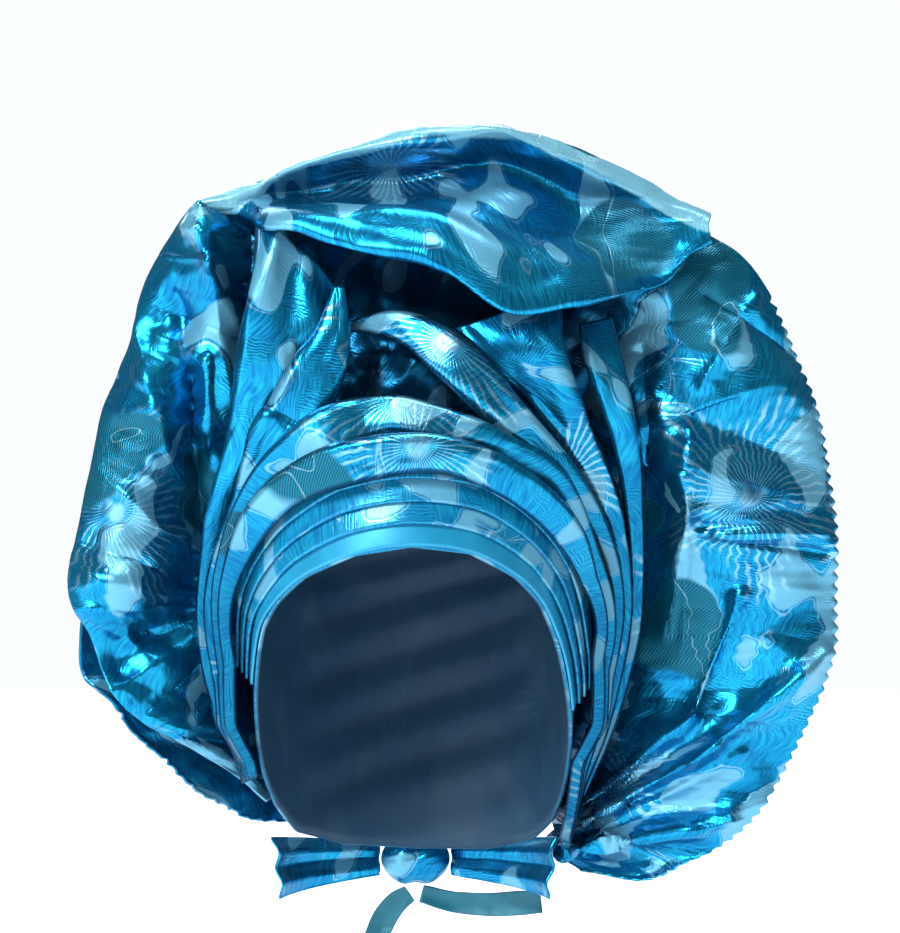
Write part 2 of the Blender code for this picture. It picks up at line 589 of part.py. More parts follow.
def tie_end(name, side, finish, rounds=8, levels=6):
    """A gathered end that runs round the nape to the knot, with shallow pleats along it."""
    place = knot_place()
    last = 180 - math.degrees(math.asin((KNOT_WIDTH / 2 + CLEAR) / place[1]))
    at_knot = place + (side * (KNOT_WIDTH + CLEAR) / 2, 0, 0)
    to_knot = at_knot - on_head(side * last, TIE_LEVEL, HOOD_WALL)
    angles = np.linspace(TIE_START_DEG, last, rounds)
    along = (angles - TIE_START_DEG) / (last - TIE_START_DEG)
    base = HOOD_WALL + CLEAR + CLOTH / 2
    grid = []
    for share in np.linspace(0, 1, levels + 1):
        level = TIE_LEVEL + (share - 0.5) * TIE_HEIGHT * (1 - TIE_NARROWS * along)
        pleat = TIE_PLEAT * (1 + math.cos(4 * math.pi * share))
        grid.append(on_head(side * angles, level, base + pleat) + to_knot * along[:, None] ** 2)
    return cloth_wall(name, np.array(grid).transpose(1, 0, 2), finish)


def knot(finish):
    """The knot at the nape, a firm round lump of cloth."""
    shape = bmesh.new()
    bmesh.ops.create_uvsphere(shape, u_segments=16, v_segments=10, radius=0.5)
    for corner in shape.verts:
        pinch = 1 - 0.18 * math.cos(4 * math.pi * corner.co.x) * (0.5 - abs(corner.co.x))
        corner.co.x *= KNOT_WIDTH
        corner.co.y *= KNOT_DEPTH * pinch
        corner.co.z *= KNOT_HEIGHT * pinch
    mesh = bpy.data.meshes.new("nape_knot")
    shape.to_mesh(mesh)
    shape.free()
    mesh.shade_smooth()
    mesh.materials.append(finish)
    piece = bpy.data.objects.new("nape_knot", mesh)
    piece.location = knot_place()
    bpy.context.scene.collection.objects.link(piece)
    return piece


def tail(name, rows, finish, lengths=9, widths=4):
    """A free end that leaves the knot below."""
    across, back, down, width = smooth(rows, lengths).T
    start = knot_place()
    hang = start[2] - KNOT_HEIGHT / 2 - CLEAR / 4 - width[0] * TAIL_WIDTH / 2
    along = np.stack([np.gradient(across), np.gradient(down)], axis=1)
    along /= np.linalg.norm(along, axis=1)[:, None]
    grid = []
    for share in np.linspace(-0.5, 0.5, widths + 1):
        curl = TAIL_CURL * math.cos(math.pi * share)
        x = start[0] + across * TAIL_LENGTH + along[:, 1] * share * width * TAIL_WIDTH
        y = start[1] + back * TAIL_LENGTH + curl
        z = hang - down * TAIL_LENGTH + along[:, 0] * share * width * TAIL_WIDTH
        grid.append(np.stack([x, y, z], axis=-1))
    return cloth_wall(name, np.array(grid).transpose(1, 0, 2), finish)


def clear_scene():
    for old in list(bpy.data.objects):
        bpy.data.objects.remove(old)


clear_scene()
brocade = material("brocade", (0.02, 0.36, 0.62), 0.34, 0.6)
plain = material("plain_ground", (0.03, 0.45, 0.66), 0.45, 0.3)

hood(plain)
for number in range(1, BROW_PLEATS + 1):
    brow_pleat(number, plain if number == 1 else brocade)
for fold, rows in CROWN_FOLDS.items():
    soft_fold(fold, rows, brocade, FOLD_ORDER[fold])
wing("left_wing", LEFT_WING, LEFT_CREASES, brocade, 26, 9)
wing("right_wing", RIGHT_WING, RIGHT_CREASES, brocade, 26, 9)
wing("back_layer", BACK_LAYER, BACK_CREASES, brocade, 30, 6)
top_fold(brocade)
crown_floor(brocade)
tie_end("tie_end_left", -1, brocade)
tie_end("tie_end_right", 1, brocade)
knot(brocade)
for name, rows in TAILS.items():
    tail(name, rows, brocade)
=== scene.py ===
"""Tied gele head tie in stiff turquoise brocade: the looks of every piece."""

import math
import random

import bpy
import numpy as np
from mathutils import Matrix, Vector, noise


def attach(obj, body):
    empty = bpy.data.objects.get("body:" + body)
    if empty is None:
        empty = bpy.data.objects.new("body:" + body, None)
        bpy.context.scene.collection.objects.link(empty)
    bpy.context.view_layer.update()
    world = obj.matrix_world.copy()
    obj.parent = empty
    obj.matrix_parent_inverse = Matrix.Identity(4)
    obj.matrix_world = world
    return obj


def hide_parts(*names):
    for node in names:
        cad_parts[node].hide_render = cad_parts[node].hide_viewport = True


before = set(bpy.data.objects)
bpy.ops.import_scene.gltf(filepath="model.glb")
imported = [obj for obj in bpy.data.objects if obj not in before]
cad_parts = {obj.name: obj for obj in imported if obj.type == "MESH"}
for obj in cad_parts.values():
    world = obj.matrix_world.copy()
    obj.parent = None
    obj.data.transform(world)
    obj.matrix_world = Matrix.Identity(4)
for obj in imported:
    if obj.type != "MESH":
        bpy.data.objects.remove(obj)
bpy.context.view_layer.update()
bpy.ops.object.select_all(action="DESELECT")


# Hood
# The part of the long cloth that is wrapped into a hood, open in front and below. Its plain dark
# side shows inside, darker still with painted shade, and its figured side outside, with painted
# shade in the valleys of its folds at the back. Everything else is laid over it.
HEAD_WIDTH = 0.150
HEAD_LENGTH = 0.192
HEAD_HEIGHT = 0.096
NAPE_DROP = 0.124
ROUND_POWER = 2.3
NECK_NARROWS = 0.10
NECK_SHORTENS = 0.30
CLOTH = 0.0011
HOOD_WALL = 0.0020
CLEAR = 0.0007
SEAT = 0.0004
LAYER = 0.0012 + CLEAR
MEAN_RADIUS = (HEAD_WIDTH + HEAD_LENGTH) / 4

CREASE_RUNS = 6
CREASE_BOW = 0.22
HOOD_CREASE = 0.0018
WOUND_HEIGHT = 0.0030
WOUND_PITCH_DEG = 72.0

SATIN_PITCH = 0.0013
TWILL_PITCH = 0.0017
WAVE_PITCH = 0.0015

HOOD_EDGE = (
    # round, level
    (-180, -1.00),
    (-150, -0.98),
    (-125, -0.92),
    (-110, -0.80),
    (-98, -0.66),
    (-85, -0.45),
    (-75, -0.26),
    (-66, -0.10),
    (-55, 0.00),
    (-40, 0.13),
    (-20, 0.235),
    (0, 0.277),
    (20, 0.245),
    (38, 0.13),
    (50, 0.00),
    (62, -0.17),
    (72, -0.34),
    (85, -0.53),
    (98, -0.73),
    (110, -0.86),
    (125, -0.95),
    (150, -1.00),
    (180, -1.00),
)


def smooth(rows, samples):
    """The rows of a table as a smooth run of that many samples through them."""
    table = np.array(rows, float)
    ends = np.vstack([2 * table[0] - table[1], table, 2 * table[-1] - table[-2]])
    at = np.linspace(0, len(table) - 1, samples)
    first = np.minimum(at.astype(int), len(table) - 2)
    t = (at - first)[:, None]
    before, start, end, after = (ends[first + k] for k in range(4))
    return (
        start
        + t * (end - before) / 2
        + t**2 * (2 * before - 5 * start + 4 * end - after) / 2
        + t**3 * (3 * start - before - 3 * end + after) / 2
    )


def on_head(round_deg, level, lift):
    """A point lift outside the hollow, round_deg from the front, at a level from -1 to 1."""
    up = np.clip(level, 0, 1)
    down = np.clip(-level, 0, 1.2)
    angle = np.radians(round_deg)
    ring = (1 - up**ROUND_POWER) ** (1 / ROUND_POWER)
    narrow = 1 - NECK_NARROWS * down**2
    shorten = 1 - NECK_SHORTENS * down**2 * np.clip(-np.cos(angle), 0, 1)
    place_x = (HEAD_WIDTH / 2 + lift) * ring * narrow * np.sin(angle)
    place_y = -(HEAD_LENGTH / 2 + lift) * ring * shorten * np.cos(angle)
    place_z = up * (HEAD_HEIGHT + lift) - down * NAPE_DROP
    return np.stack([place_x, place_y, place_z], axis=-1)


def facing(points):
    """The direction square to the cloth at every point of a grid."""
    along = np.gradient(points, axis=0)
    across = np.gradient(points, axis=1)
    square = np.cross(across, along)
    return square / np.maximum(np.linalg.norm(square, axis=2, keepdims=True), 1e-9)


def spread_out(points):
    """The places of a grid's points on the flat cloth, in metres across and along."""
    run_along = np.linalg.norm(np.diff(points, axis=0), axis=2)
    run_across = np.linalg.norm(np.diff(points, axis=1), axis=2)
    down = np.concatenate([[0], np.cumsum(run_along.mean(axis=1))])
    side = np.concatenate([np.zeros((len(points), 1)), np.cumsum(run_across, axis=1)], axis=1)
    side = side - side[:, -1:] / 2
    return side, np.repeat(down[:, None], points.shape[1], axis=1)


def crumple(points, height, size, seed, grain=(1.0, 1.0), fine=0.12):
    """The cloth with the flat facets and sharp creases of a stiff, foil-like weave.

    A grain below 1 draws the creases out that way.
    """
    draw = random.Random(seed)
    across, along = spread_out(points)
    across, along = across * grain[0] / size, along * grain[1] / size
    rise = np.zeros_like(across)
    for run in range(CREASE_RUNS):
        turn = draw.uniform(0, math.pi)
        length = draw.uniform(0.7, 2.0)
        course = (across * math.cos(turn) + along * math.sin(turn)) / length
        aside = (along * math.cos(turn) - across * math.sin(turn)) / length
        bow = CREASE_BOW * np.sin(aside * draw.uniform(1.5, 3.0) + draw.uniform(0, 6))
        course = course + bow + draw.uniform(0, 1)
        strength = 0.9 * np.sin(aside * draw.uniform(1.2, 2.6) + draw.uniform(0, 6))
        share = 0.5 + strength * np.sin(course * draw.uniform(1.2, 2.6))
        rise += (np.abs(course % 1 - 0.5) - 0.25) * length * np.clip(share, 0, 1)
    shift = Vector((draw.uniform(0, 50), draw.uniform(0, 50), 0.0))
    small = np.empty(across.size)
    for index, (first, second) in enumerate(zip(across.flat, along.flat)):
        spot = Vector((first * 2.6, second * 2.6, 0.0)) + shift
        small[index] = 0.5 - abs(noise.noise(spot)) * 2
    rise += small.reshape(across.shape) * fine
    return points + facing(points) * rise[..., None] * height


def lay_cloth(
    name, points, finish, wall=CLOTH, closed=False, painted_shade=0.0
):
    """A sheet of cloth through a grid of points, with its real wall.

    Its figure is laid out in metres on the flat cloth, and painted shade given per point darkens its
    colour.
    """
    bpy.ops.object.select_all(action="DESELECT")
    rows, columns = points.shape[:2]
    bpy.ops.mesh.primitive_grid_add(x_subdivisions=columns - 1, y_subdivisions=rows - 1, size=1)
    piece = bpy.context.object
    piece.name = name
    mesh = piece.data
    mesh.name = name
    mesh.vertices.foreach_set("co", points.reshape(-1))
    laid = np.stack(spread_out(points), axis=2).reshape(-1, 2)
    corners = np.empty(len(mesh.loops), int)
    mesh.loops.foreach_get("vertex_index", corners)
    mesh.uv_layers[0].name = "Cloth"
    mesh.uv_layers[0].data.foreach_set("uv", laid[corners].reshape(-1))
    # Painted shade for each point, which darkens the cloth's colour in creases, gathers and hollows.
    painted_shade_attribute = mesh.attributes.new("PaintedShade", "FLOAT", "POINT")
    painted_shade = np.broadcast_to(painted_shade, (rows, columns)).astype(float)
    painted_shade_attribute.data.foreach_set("value", painted_shade.reshape(-1))
    if closed:
        bpy.ops.object.mode_set(mode="EDIT")
        bpy.ops.mesh.select_all(action="SELECT")
        bpy.ops.mesh.remove_doubles(threshold=0.00005)
        bpy.ops.object.mode_set(mode="OBJECT")
    thicken = piece.modifiers.new("Wall", "SOLIDIFY")
    thicken.thickness = wall
    thicken.offset = 0
    bpy.ops.object.modifier_apply(modifier="Wall")
    bpy.ops.object.shade_smooth()
    mesh.materials.clear()
    mesh.materials.append(finish)
    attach(piece, "root")
    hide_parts(name)
    return piece


def add_node(tree, kind, inputs, **settings):
    """A shader node with its settings, and its inputs given as values or as sockets to link."""
    made = tree.nodes.new(kind)
    for setting, value in settings.items():
        setattr(made, setting, value)
    for socket, value in inputs.items():
        if isinstance(value, bpy.types.NodeSocket):
            tree.links.new(value, made.inputs[socket])
        else:
            made.inputs[socket].default_value = value
    return made


def calc(tree, operation, *values):
    """A sum on shader values, kept between 0 and 1 where its name ends in a dot."""
    settings = {"operation": operation.strip("."), "use_clamp": operation.endswith(".")}
    return add_node(tree, "ShaderNodeMath", dict(enumerate(values)), **settings).outputs[0]


def blend(tree, share, first, second):
    """One colour blended into another."""
    made = add_node(tree, "ShaderNodeMix", {"Factor": share, 6: first, 7: second}, data_type="RGBA")
    return made.outputs[2]


def empty_group(name, sockets):
    """A node group with its sockets, each given by its way in or out and its kind."""
    group = bpy.data.node_groups.new(name, "ShaderNodeTree")
    for socket, (way, kind) in sockets.items():
        group.interface.new_socket(socket, in_out=way, socket_type=f"NodeSocket{kind}")
    return group


def weave_group():
    """A fine satin weave with a soft slub, from a place on the cloth in metres."""
    sockets = {
        "Place": ("INPUT", "Vector"),
        "Shade": ("OUTPUT", "Float"),
        "Height": ("OUTPUT", "Float"),
    }
    group = empty_group("satin weave", sockets)
    start = group.nodes.new("NodeGroupInput").outputs["Place"]
    end = group.nodes.new("NodeGroupOutput")
    axes = add_node(group, "ShaderNodeSeparateXYZ", {0: start}).outputs
    uneven = add_node(group, "ShaderNodeTexNoise", {"Vector": start, "Scale": 90.0, "Detail": 3.0})
    slub = uneven.outputs["Fac"]
    slant = calc(group, "ADD", axes[0], axes[1])
    ribs = calc(group, "SINE", calc(group, "MULTIPLY", slant, 2 * math.pi / SATIN_PITCH))
    height = calc(group, "ADD", calc(group, "MULTIPLY", ribs, 0.25), slub)
    group.links.new(slub, end.inputs["Shade"])
    group.links.new(height, end.inputs["Height"])
    return group


satin_weave = weave_group()


def plain_cloth(name, dark, light, roughness, metallic):
    """The plain ground of the cloth, a satin weave with no figure on it."""
    made = bpy.data.materials.new(name)
    made.use_nodes = True
    tree = made.node_tree
    shader = tree.nodes["Principled BSDF"]
    place = add_node(tree, "ShaderNodeUVMap", {}, uv_map="Cloth").outputs[0]
    weave = add_node(tree, "ShaderNodeGroup", {}, node_tree=satin_weave)
    tree.links.new(place, weave.inputs["Place"])
    colour = blend(tree, weave.outputs["Shade"], dark, light)
    height = weave.outputs["Height"]
    bump = add_node(tree, "ShaderNodeBump", {"Height": height, "Strength": 0.3, "Distance": 0.0003})
    tree.links.new(colour, shader.inputs["Base Color"])
    tree.links.new(bump.outputs[0], shader.inputs["Normal"])
    shader.inputs["Roughness"].default_value = roughness
    shader.inputs["Metallic"].default_value = metallic
    return made


PALE = (0.11, 0.37, 0.54, 1)
SILVER = (0.42, 0.76, 0.90, 1)
AZURE = (0.001, 0.115, 0.32, 1)
CYAN = (0.014, 0.42, 0.64, 1)
PAINTED_SHADE_NAVY = (0.001, 0.018, 0.060, 1)
TEAL = (0.001, 0.060, 0.105, 1)
TEAL_RIB = (0.004, 0.18, 0.29, 1)
NO_FLOWER = (-9.0, -9.0)


def brocade_group():
    """The figured brocade, from a place on the cloth in metres.

    Pale satin leaves, ribbed teal ovals and rayed flowers lie on a ground of fine metallic waves.
    """
    sockets = {
        "Place": ("INPUT", "Vector"),
        "PaintedShade": ("INPUT", "Float"),
        "Flower": ("INPUT", "Vector"),
        "Color": ("OUTPUT", "Color"),
        "Roughness": ("OUTPUT", "Float"),
        "Metallic": ("OUTPUT", "Float"),
        "Height": ("OUTPUT", "Float"),
    }
    group = empty_group("brocade", sockets)
    start = group.nodes.new("NodeGroupInput")
    place = start.outputs["Place"]
    end = group.nodes.new("NodeGroupOutput")

    def noise_of(vector, scale, detail):
        inputs = {"Vector": vector, "Scale": scale, "Detail": detail}
        return add_node(group, "ShaderNodeTexNoise", inputs).outputs

    def cells_of(vector, scale, randomness):
        inputs = {"Vector": vector, "Scale": scale, "Randomness": randomness}
        return add_node(group, "ShaderNodeTexVoronoi", inputs).outputs

    def vector_of(operation, *values):
        inputs = dict(enumerate(values))
        return add_node(group, "ShaderNodeVectorMath", inputs, operation=operation).outputs

    def over(value, limit, soft):
        return calc(group, "DIVIDE.", calc(group, "SUBTRACT", value, limit - soft), 2 * soft)

    def under(value, limit, soft):
        return calc(group, "SUBTRACT", 1.0, over(value, limit, soft))

    def times(*values):
        product = values[0]
        for value in values[1:]:
            product = calc(group, "MULTIPLY", product, value)
        return product

    wander = vector_of("SUBTRACT", noise_of(place, 19.0, 1.0)["Color"], (0.5, 0.5, 0.5))[0]
    bent = vector_of("MULTIPLY_ADD", wander, (0.045, 0.045, 0.0), place)[0]
    axes = add_node(group, "ShaderNodeSeparateXYZ", {0: place}).outputs

    leaf_place = vector_of("MULTIPLY", bent, (1.0, 0.55, 1.0))[0]
    field = noise_of(leaf_place, 42.0, 0.6)["Fac"]
    leaves = over(field, 0.590, 0.005)
    rim_field = calc(group, "ABSOLUTE", calc(group, "SUBTRACT", field, 0.575))
    leaf_line = under(rim_field, 0.0045, 0.003)

    oval_place = vector_of("MULTIPLY", bent, (1.0, 0.72, 1.0))[0]
    ovals = cells_of(oval_place, 15.0, 0.8)
    pick = add_node(group, "ShaderNodeSeparateColor", {0: ovals["Color"]}).outputs[0]
    oval = times(under(ovals["Distance"], 0.34, 0.012), over(pick, 0.62, 0.02))

    flowers = cells_of(place, 9.0, 0.7)
    shake = times(noise_of(place, 80.0, 2.0)["Fac"], 8.0)

    def flower_at(centre, length, count, thickness):
        local = vector_of("SUBTRACT", place, centre)[0]
        reach = vector_of("LENGTH", local)["Value"]
        around = add_node(group, "ShaderNodeSeparateXYZ", {0: local}).outputs
        angle = calc(group, "ARCTAN2", around[1], around[0])
        spokes = calc(group, "SINE", calc(group, "MULTIPLY_ADD", angle, count, shake))
        rays = over(spokes, thickness, 0.3)
        scallop = calc(group, "COSINE", times(angle, 5.0))
        petal = calc(group, "MULTIPLY_ADD", scallop, length / 4, length)
        in_flower = under(calc(group, "SUBTRACT", reach, petal), 0.0, 0.003)
        heart = under(reach, 0.005, 0.001)
        return calc(group, "MAXIMUM", times(rays, in_flower), heart)

    small_flowers = flower_at(flowers["Position"], 0.030, 36.0, 0.45)
    broken = over(noise_of(place, 130.0, 1.0)["Fac"], 0.40, 0.12)
    large_flower = times(flower_at(start.outputs["Flower"], 0.044, 46.0, 0.50), broken, 0.85)
    ray_mask = calc(group, "MAXIMUM", small_flowers, large_flower)

    stroke_place = vector_of("MULTIPLY", bent, (1.0, 0.10, 1.0))[0]
    strokes = over(noise_of(stroke_place, 900.0, 2.0)["Fac"], 0.5, 0.16)
    ripple = calc(group, "MULTIPLY_ADD", noise_of(place, 190.0, 2.0)["Fac"], 0.004, axes[1])
    waves = over(calc(group, "SINE", times(ripple, 2 * math.pi / WAVE_PITCH)), 0.0, 0.9)
    patches = over(noise_of(place, 38.0, 3.0)["Fac"], 0.58, 0.06)
    thread = add_node(group, "ShaderNodeMix", {0: patches, 2: strokes, 3: waves}).outputs[0]
    slant = calc(group, "ADD", axes[0], axes[1])
    twill = over(calc(group, "SINE", times(slant, 2 * math.pi / TWILL_PITCH)), 0.0, 0.6)

    glint = over(noise_of(place, 24.0, 2.0)["Fac"], 0.5, 0.2)
    sparkle = calc(group, "MULTIPLY_ADD", glint, 0.30, 0.40)
    lurex = calc(group, "MULTIPLY_ADD", thread, sparkle, times(glint, 0.15))
    ground = blend(group, lurex, AZURE, CYAN)
    with_leaves = blend(group, leaves, ground, PALE)
    with_flowers = blend(group, times(ray_mask, 0.42), with_leaves, SILVER)
    cloth_teal = blend(group, times(twill, 0.8), TEAL, TEAL_RIB)
    with_ovals = blend(group, oval, with_flowers, cloth_teal)
    with_lines = blend(group, times(leaf_line, 0.28), with_ovals, SILVER)
    # Painted shade: the colour is blended towards navy where the painted shade input is high.
    colour = blend(group, times(start.outputs["PaintedShade"], 0.88), with_lines, PAINTED_SHADE_NAVY)

    matte = calc(group, "MAXIMUM", leaves, oval)
    metallic = calc(group, "MULTIPLY_ADD", matte, -0.28, 0.88)
    rough = calc(group, "MULTIPLY_ADD", matte, 0.09, 0.27)
    relief = calc(group, "ADD", times(thread, 0.4), times(twill, oval, 0.5))
    height = calc(group, "ADD", relief, calc(group, "ADD", times(leaves, 0.5), times(ray_mask, 0.4)))
    group.links.new(colour, end.inputs["Color"])
    group.links.new(rough, end.inputs["Roughness"])
    group.links.new(metallic, end.inputs["Metallic"])
    group.links.new(height, end.inputs["Height"])
    return group


brocade_figure = brocade_group()


def brocade(name, shift=(0.0, 0.0), turn_deg=0.0, gloss=1.0, flower=NO_FLOWER):
    """The figured brocade, its figure shifted and turned as the piece was folded from the cloth.

    A gloss below 1 gives less of the metal thread's gleam, and a large flower opens at that place.
    """
    made = bpy.data.materials.new(name)
    made.use_nodes = True
    tree = made.node_tree
    shader = tree.nodes["Principled BSDF"]
    place = add_node(tree, "ShaderNodeUVMap", {}, uv_map="Cloth").outputs[0]
    turn = math.radians(turn_deg)
    laid = {"Vector": place, "Location": (*shift, 0), "Rotation": (0, 0, turn)}
    moved = add_node(tree, "ShaderNodeMapping", laid)
    # The painted shade of each point, read from the mesh.
    painted_shade = add_node(tree, "ShaderNodeAttribute", {}, attribute_name="PaintedShade").outputs["Fac"]
    figure = add_node(tree, "ShaderNodeGroup", {}, node_tree=brocade_figure)
    tree.links.new(moved.outputs[0], figure.inputs["Place"])
    tree.links.new(painted_shade, figure.inputs["PaintedShade"])
    centre = Matrix.Rotation(turn, 2) @ Vector(flower) + Vector(shift)
    figure.inputs["Flower"].default_value = (*centre, 0)
    height = figure.outputs["Height"]
    bump = add_node(tree, "ShaderNodeBump", {"Height": height, "Strength": 0.4, "Distance": 0.0004})
    tree.links.new(figure.outputs["Color"], shader.inputs["Base Color"])
    tree.links.new(figure.outputs["Roughness"], shader.inputs["Roughness"])
    shader.inputs["Specular IOR Level"].default_value = 0.3
    metal = calc(tree, "MULTIPLY", figure.outputs["Metallic"], gloss)
    tree.links.new(metal, shader.inputs["Metallic"])
    tree.links.new(bump.outputs[0], shader.inputs["Normal"])
    return made


# The plain dark reverse, darkened further with painted shade for the hollow inside the hood.
HOOD_INSIDE_DARKER_SHADED = (0.001, 0.018, 0.050, 1)
HOOD_INSIDE_LIGHTER_SHADED = (0.003, 0.040, 0.09, 1)

inner_cloth = plain_cloth("inner cloth", HOOD_INSIDE_DARKER_SHADED, HOOD_INSIDE_LIGHTER_SHADED, 0.65, 0.10)
tree = inner_cloth.node_tree
shader = tree.nodes["Principled BSDF"]
ground = shader.inputs["Base Color"].links[0].from_socket
place = add_node(tree, "ShaderNodeUVMap", {}, uv_map="Cloth").outputs[0]
figure = add_node(tree, "ShaderNodeGroup", {}, node_tree=brocade_figure)
tree.links.new(place, figure.inputs["Place"])
figure.inputs["Flower"].default_value = (*NO_FLOWER, 0)
# Painted shade of each point darkens the figure on the outside.
painted_shade = add_node(tree, "ShaderNodeAttribute", {}, attribute_name="PaintedShade").outputs["Fac"]
tree.links.new(painted_shade, figure.inputs["PaintedShade"])
outer = add_node(tree, "ShaderNodeAttribute", {}, attribute_name="Outside").outputs["Fac"]
shown = calc(tree, "MULTIPLY_ADD", outer, 0.88, 0.06)
colour = blend(tree, shown, ground, figure.outputs["Color"])
tree.links.new(colour, shader.inputs["Base Color"])
tree.links.new(calc(tree, "MULTIPLY_ADD", outer, 0.62, 0.10), shader.inputs["Metallic"])
tree.links.new(calc(tree, "MULTIPLY_ADD", outer, -0.35, 0.65), shader.inputs["Roughness"])

edge = np.array(HOOD_EDGE, float)
angles = np.linspace(0, 360, 161)
from_front = (angles + 180) % 360 - 180
low = np.interp(from_front, edge[:, 0], edge[:, 1])
shares = np.linspace(0, 1, 121)[:, None]
level = low + (1 - low) * np.sin(shares * math.pi / 2) ** 0.9
points = on_head(angles, np.minimum(level, 0.9995), HOOD_WALL / 2)
points[-1] = points[-1].mean(axis=0)
wrinkled = crumple(points, HOOD_CREASE, 0.035, 11, (0.5, 1.0))
loose = np.sin(shares * math.pi) * np.sin(np.radians(angles) / 2)
points = points + (wrinkled - points) * loose[..., None]
wound = np.abs((level * 4.5 + angles / WOUND_PITCH_DEG) % 1 - 0.5) * 2
at_back = np.clip((np.abs(from_front) - 126) / 12, 0, 1) * np.clip((0.85 - level) / 0.3, 0, 1)
at_back = at_back * np.sin(shares * math.pi) ** 0.3
# Painted shade in the valleys of the wound folds at the back.
painted_shade_in_valleys = 0.8 * at_back * np.clip(1 - wound / 0.35, 0, 1)
points = points - facing(points) * (WOUND_HEIGHT * wound * at_back)[..., None]
points[:, 0] = points[:, -1] = (points[:, 0] + points[:, -1]) / 2
hood = lay_cloth(
    "head_wrap", points, inner_cloth, HOOD_WALL, closed=True, painted_shade=painted_shade_in_valleys
)
places = np.empty(len(hood.data.vertices) * 3)
hood.data.vertices.foreach_get("co", places)
even_width = (HEAD_LENGTH / HEAD_WIDTH, 1, 1)
off_middle = np.linalg.norm(places.reshape(2, -1, 3) * even_width, axis=2).mean(axis=1)
outside = np.repeat((off_middle > off_middle.mean()).astype(float), len(hood.data.vertices) // 2)
hood.data.attributes.new("Outside", "FLOAT", "POINT").data.foreach_set("value", outside)


# Brow pleats
# Four flat pleats laid one over the other across the brow, each showing a finger's width. The
# lowest shows the plain ground of the cloth, and they close up where they run back at the sides.
BROW_PLEATS = 4
PLEAT_STEP = 0.0088
PLEAT_WIDTH = 0.0190
PLEAT_END_DEG = 78.0
PLEAT_CREASE = 0.0005
PLEAT_GLOSS = 0.4
PLAIN_DARK = (0.006, 0.22, 0.42, 1)
PLAIN_LIGHT = (0.014, 0.34, 0.56, 1)

plain_turquoise = plain_cloth("plain turquoise", PLAIN_DARK, PLAIN_LIGHT, 0.40, 0.35)


def hood_edge(samples):
    """The hood's front edge as arc length and height, with the direction up over the hood."""
    rows = smooth(HOOD_EDGE, 240)
    rows = rows[np.abs(rows[:, 0]) <= PLEAT_END_DEG]
    across = np.radians(rows[:, 0]) * MEAN_RADIUS
    height = np.where(rows[:, 1] >= 0, rows[:, 1] * HEAD_HEIGHT, rows[:, 1] * NAPE_DROP)
    line = np.stack([across, height], axis=1)
    run = np.concatenate([[0], np.cumsum(np.linalg.norm(np.diff(line, axis=0), axis=1))])
    at = np.linspace(0, run[-1], samples)
    line = np.stack([np.interp(at, run, line[:, k]) for k in range(2)], axis=1)
    along = np.gradient(line, axis=0)
    along /= np.linalg.norm(along, axis=1)[:, None]
    return line, np.stack([-along[:, 1], along[:, 0]], axis=1)


def from_edge(offset, lift, samples):
    """The line that runs offset above the hood's edge and lift outside the hollow."""
    line, normal = hood_edge(samples)
    round_share = np.abs(line[:, 0]) / (math.pi * MEAN_RADIUS)
    closing = 1 - 0.75 * np.clip((round_share - 0.12) / 0.5, 0, 1)
    moved = line + normal * (offset * closing)[:, None]
    up = np.where(moved[:, 1] >= 0, moved[:, 1] / HEAD_HEIGHT, moved[:, 1] / NAPE_DROP)
    return on_head(np.degrees(moved[:, 0] / MEAN_RADIUS), up, lift)


for number in range(1, BROW_PLEATS + 1):
    lift = HOOD_WALL + CLEAR + CLOTH / 2 + (number - 1) * LAYER
    low = (number - 1) * PLEAT_STEP
    lines = [from_edge(low + share * PLEAT_WIDTH, lift, 161) for share in np.linspace(0, 1, 13)]
    points = np.array(lines).transpose(1, 0, 2)
    points = crumple(points, PLEAT_CREASE, 0.016, number, (1.0, 0.5))
    finish = plain_turquoise
    if number > 1:
        finish = brocade(f"brow brocade {number}", (0.11 * number, 0.4), 90, PLEAT_GLOSS)
    pleat = lay_cloth(f"brow_pleat_{number}", points, finish)


# Crown folds
# Soft folds of the same cloth, stacked up the crown. Two cross over the brow from one temple to
# the other, and five rise from one temple. At the temples all of them are gathered tight.
FAN_RADIUS = 0.190
FAN_DEPTH = 0.104
DRAWN_MIDDLE = -0.025
DRAWN_HALF_WIDTH = 0.44
DRAWN_HEIGHT = 0.53
DRAWN_DEPTH = 0.95
DRAWN_NAPE = 0.66
WRAP = HOOD_WALL + BROW_PLEATS * LAYER
WRAPPED_HALF_WIDTH = HEAD_WIDTH / 2 + WRAP
WRAPPED_HALF_LENGTH = HEAD_LENGTH / 2 + WRAP
WRAPPED_HEIGHT = HEAD_HEIGHT + HOOD_WALL + CLEAR
FAN_REACH = (FAN_RADIUS - WRAPPED_HALF_WIDTH) / (1 - DRAWN_HALF_WIDTH)

FOLD_FLATNESS = 1.8
FOLD_TURNS_DEG = np.linspace(-105, 105, 37)
FULL_TURN = 1.26

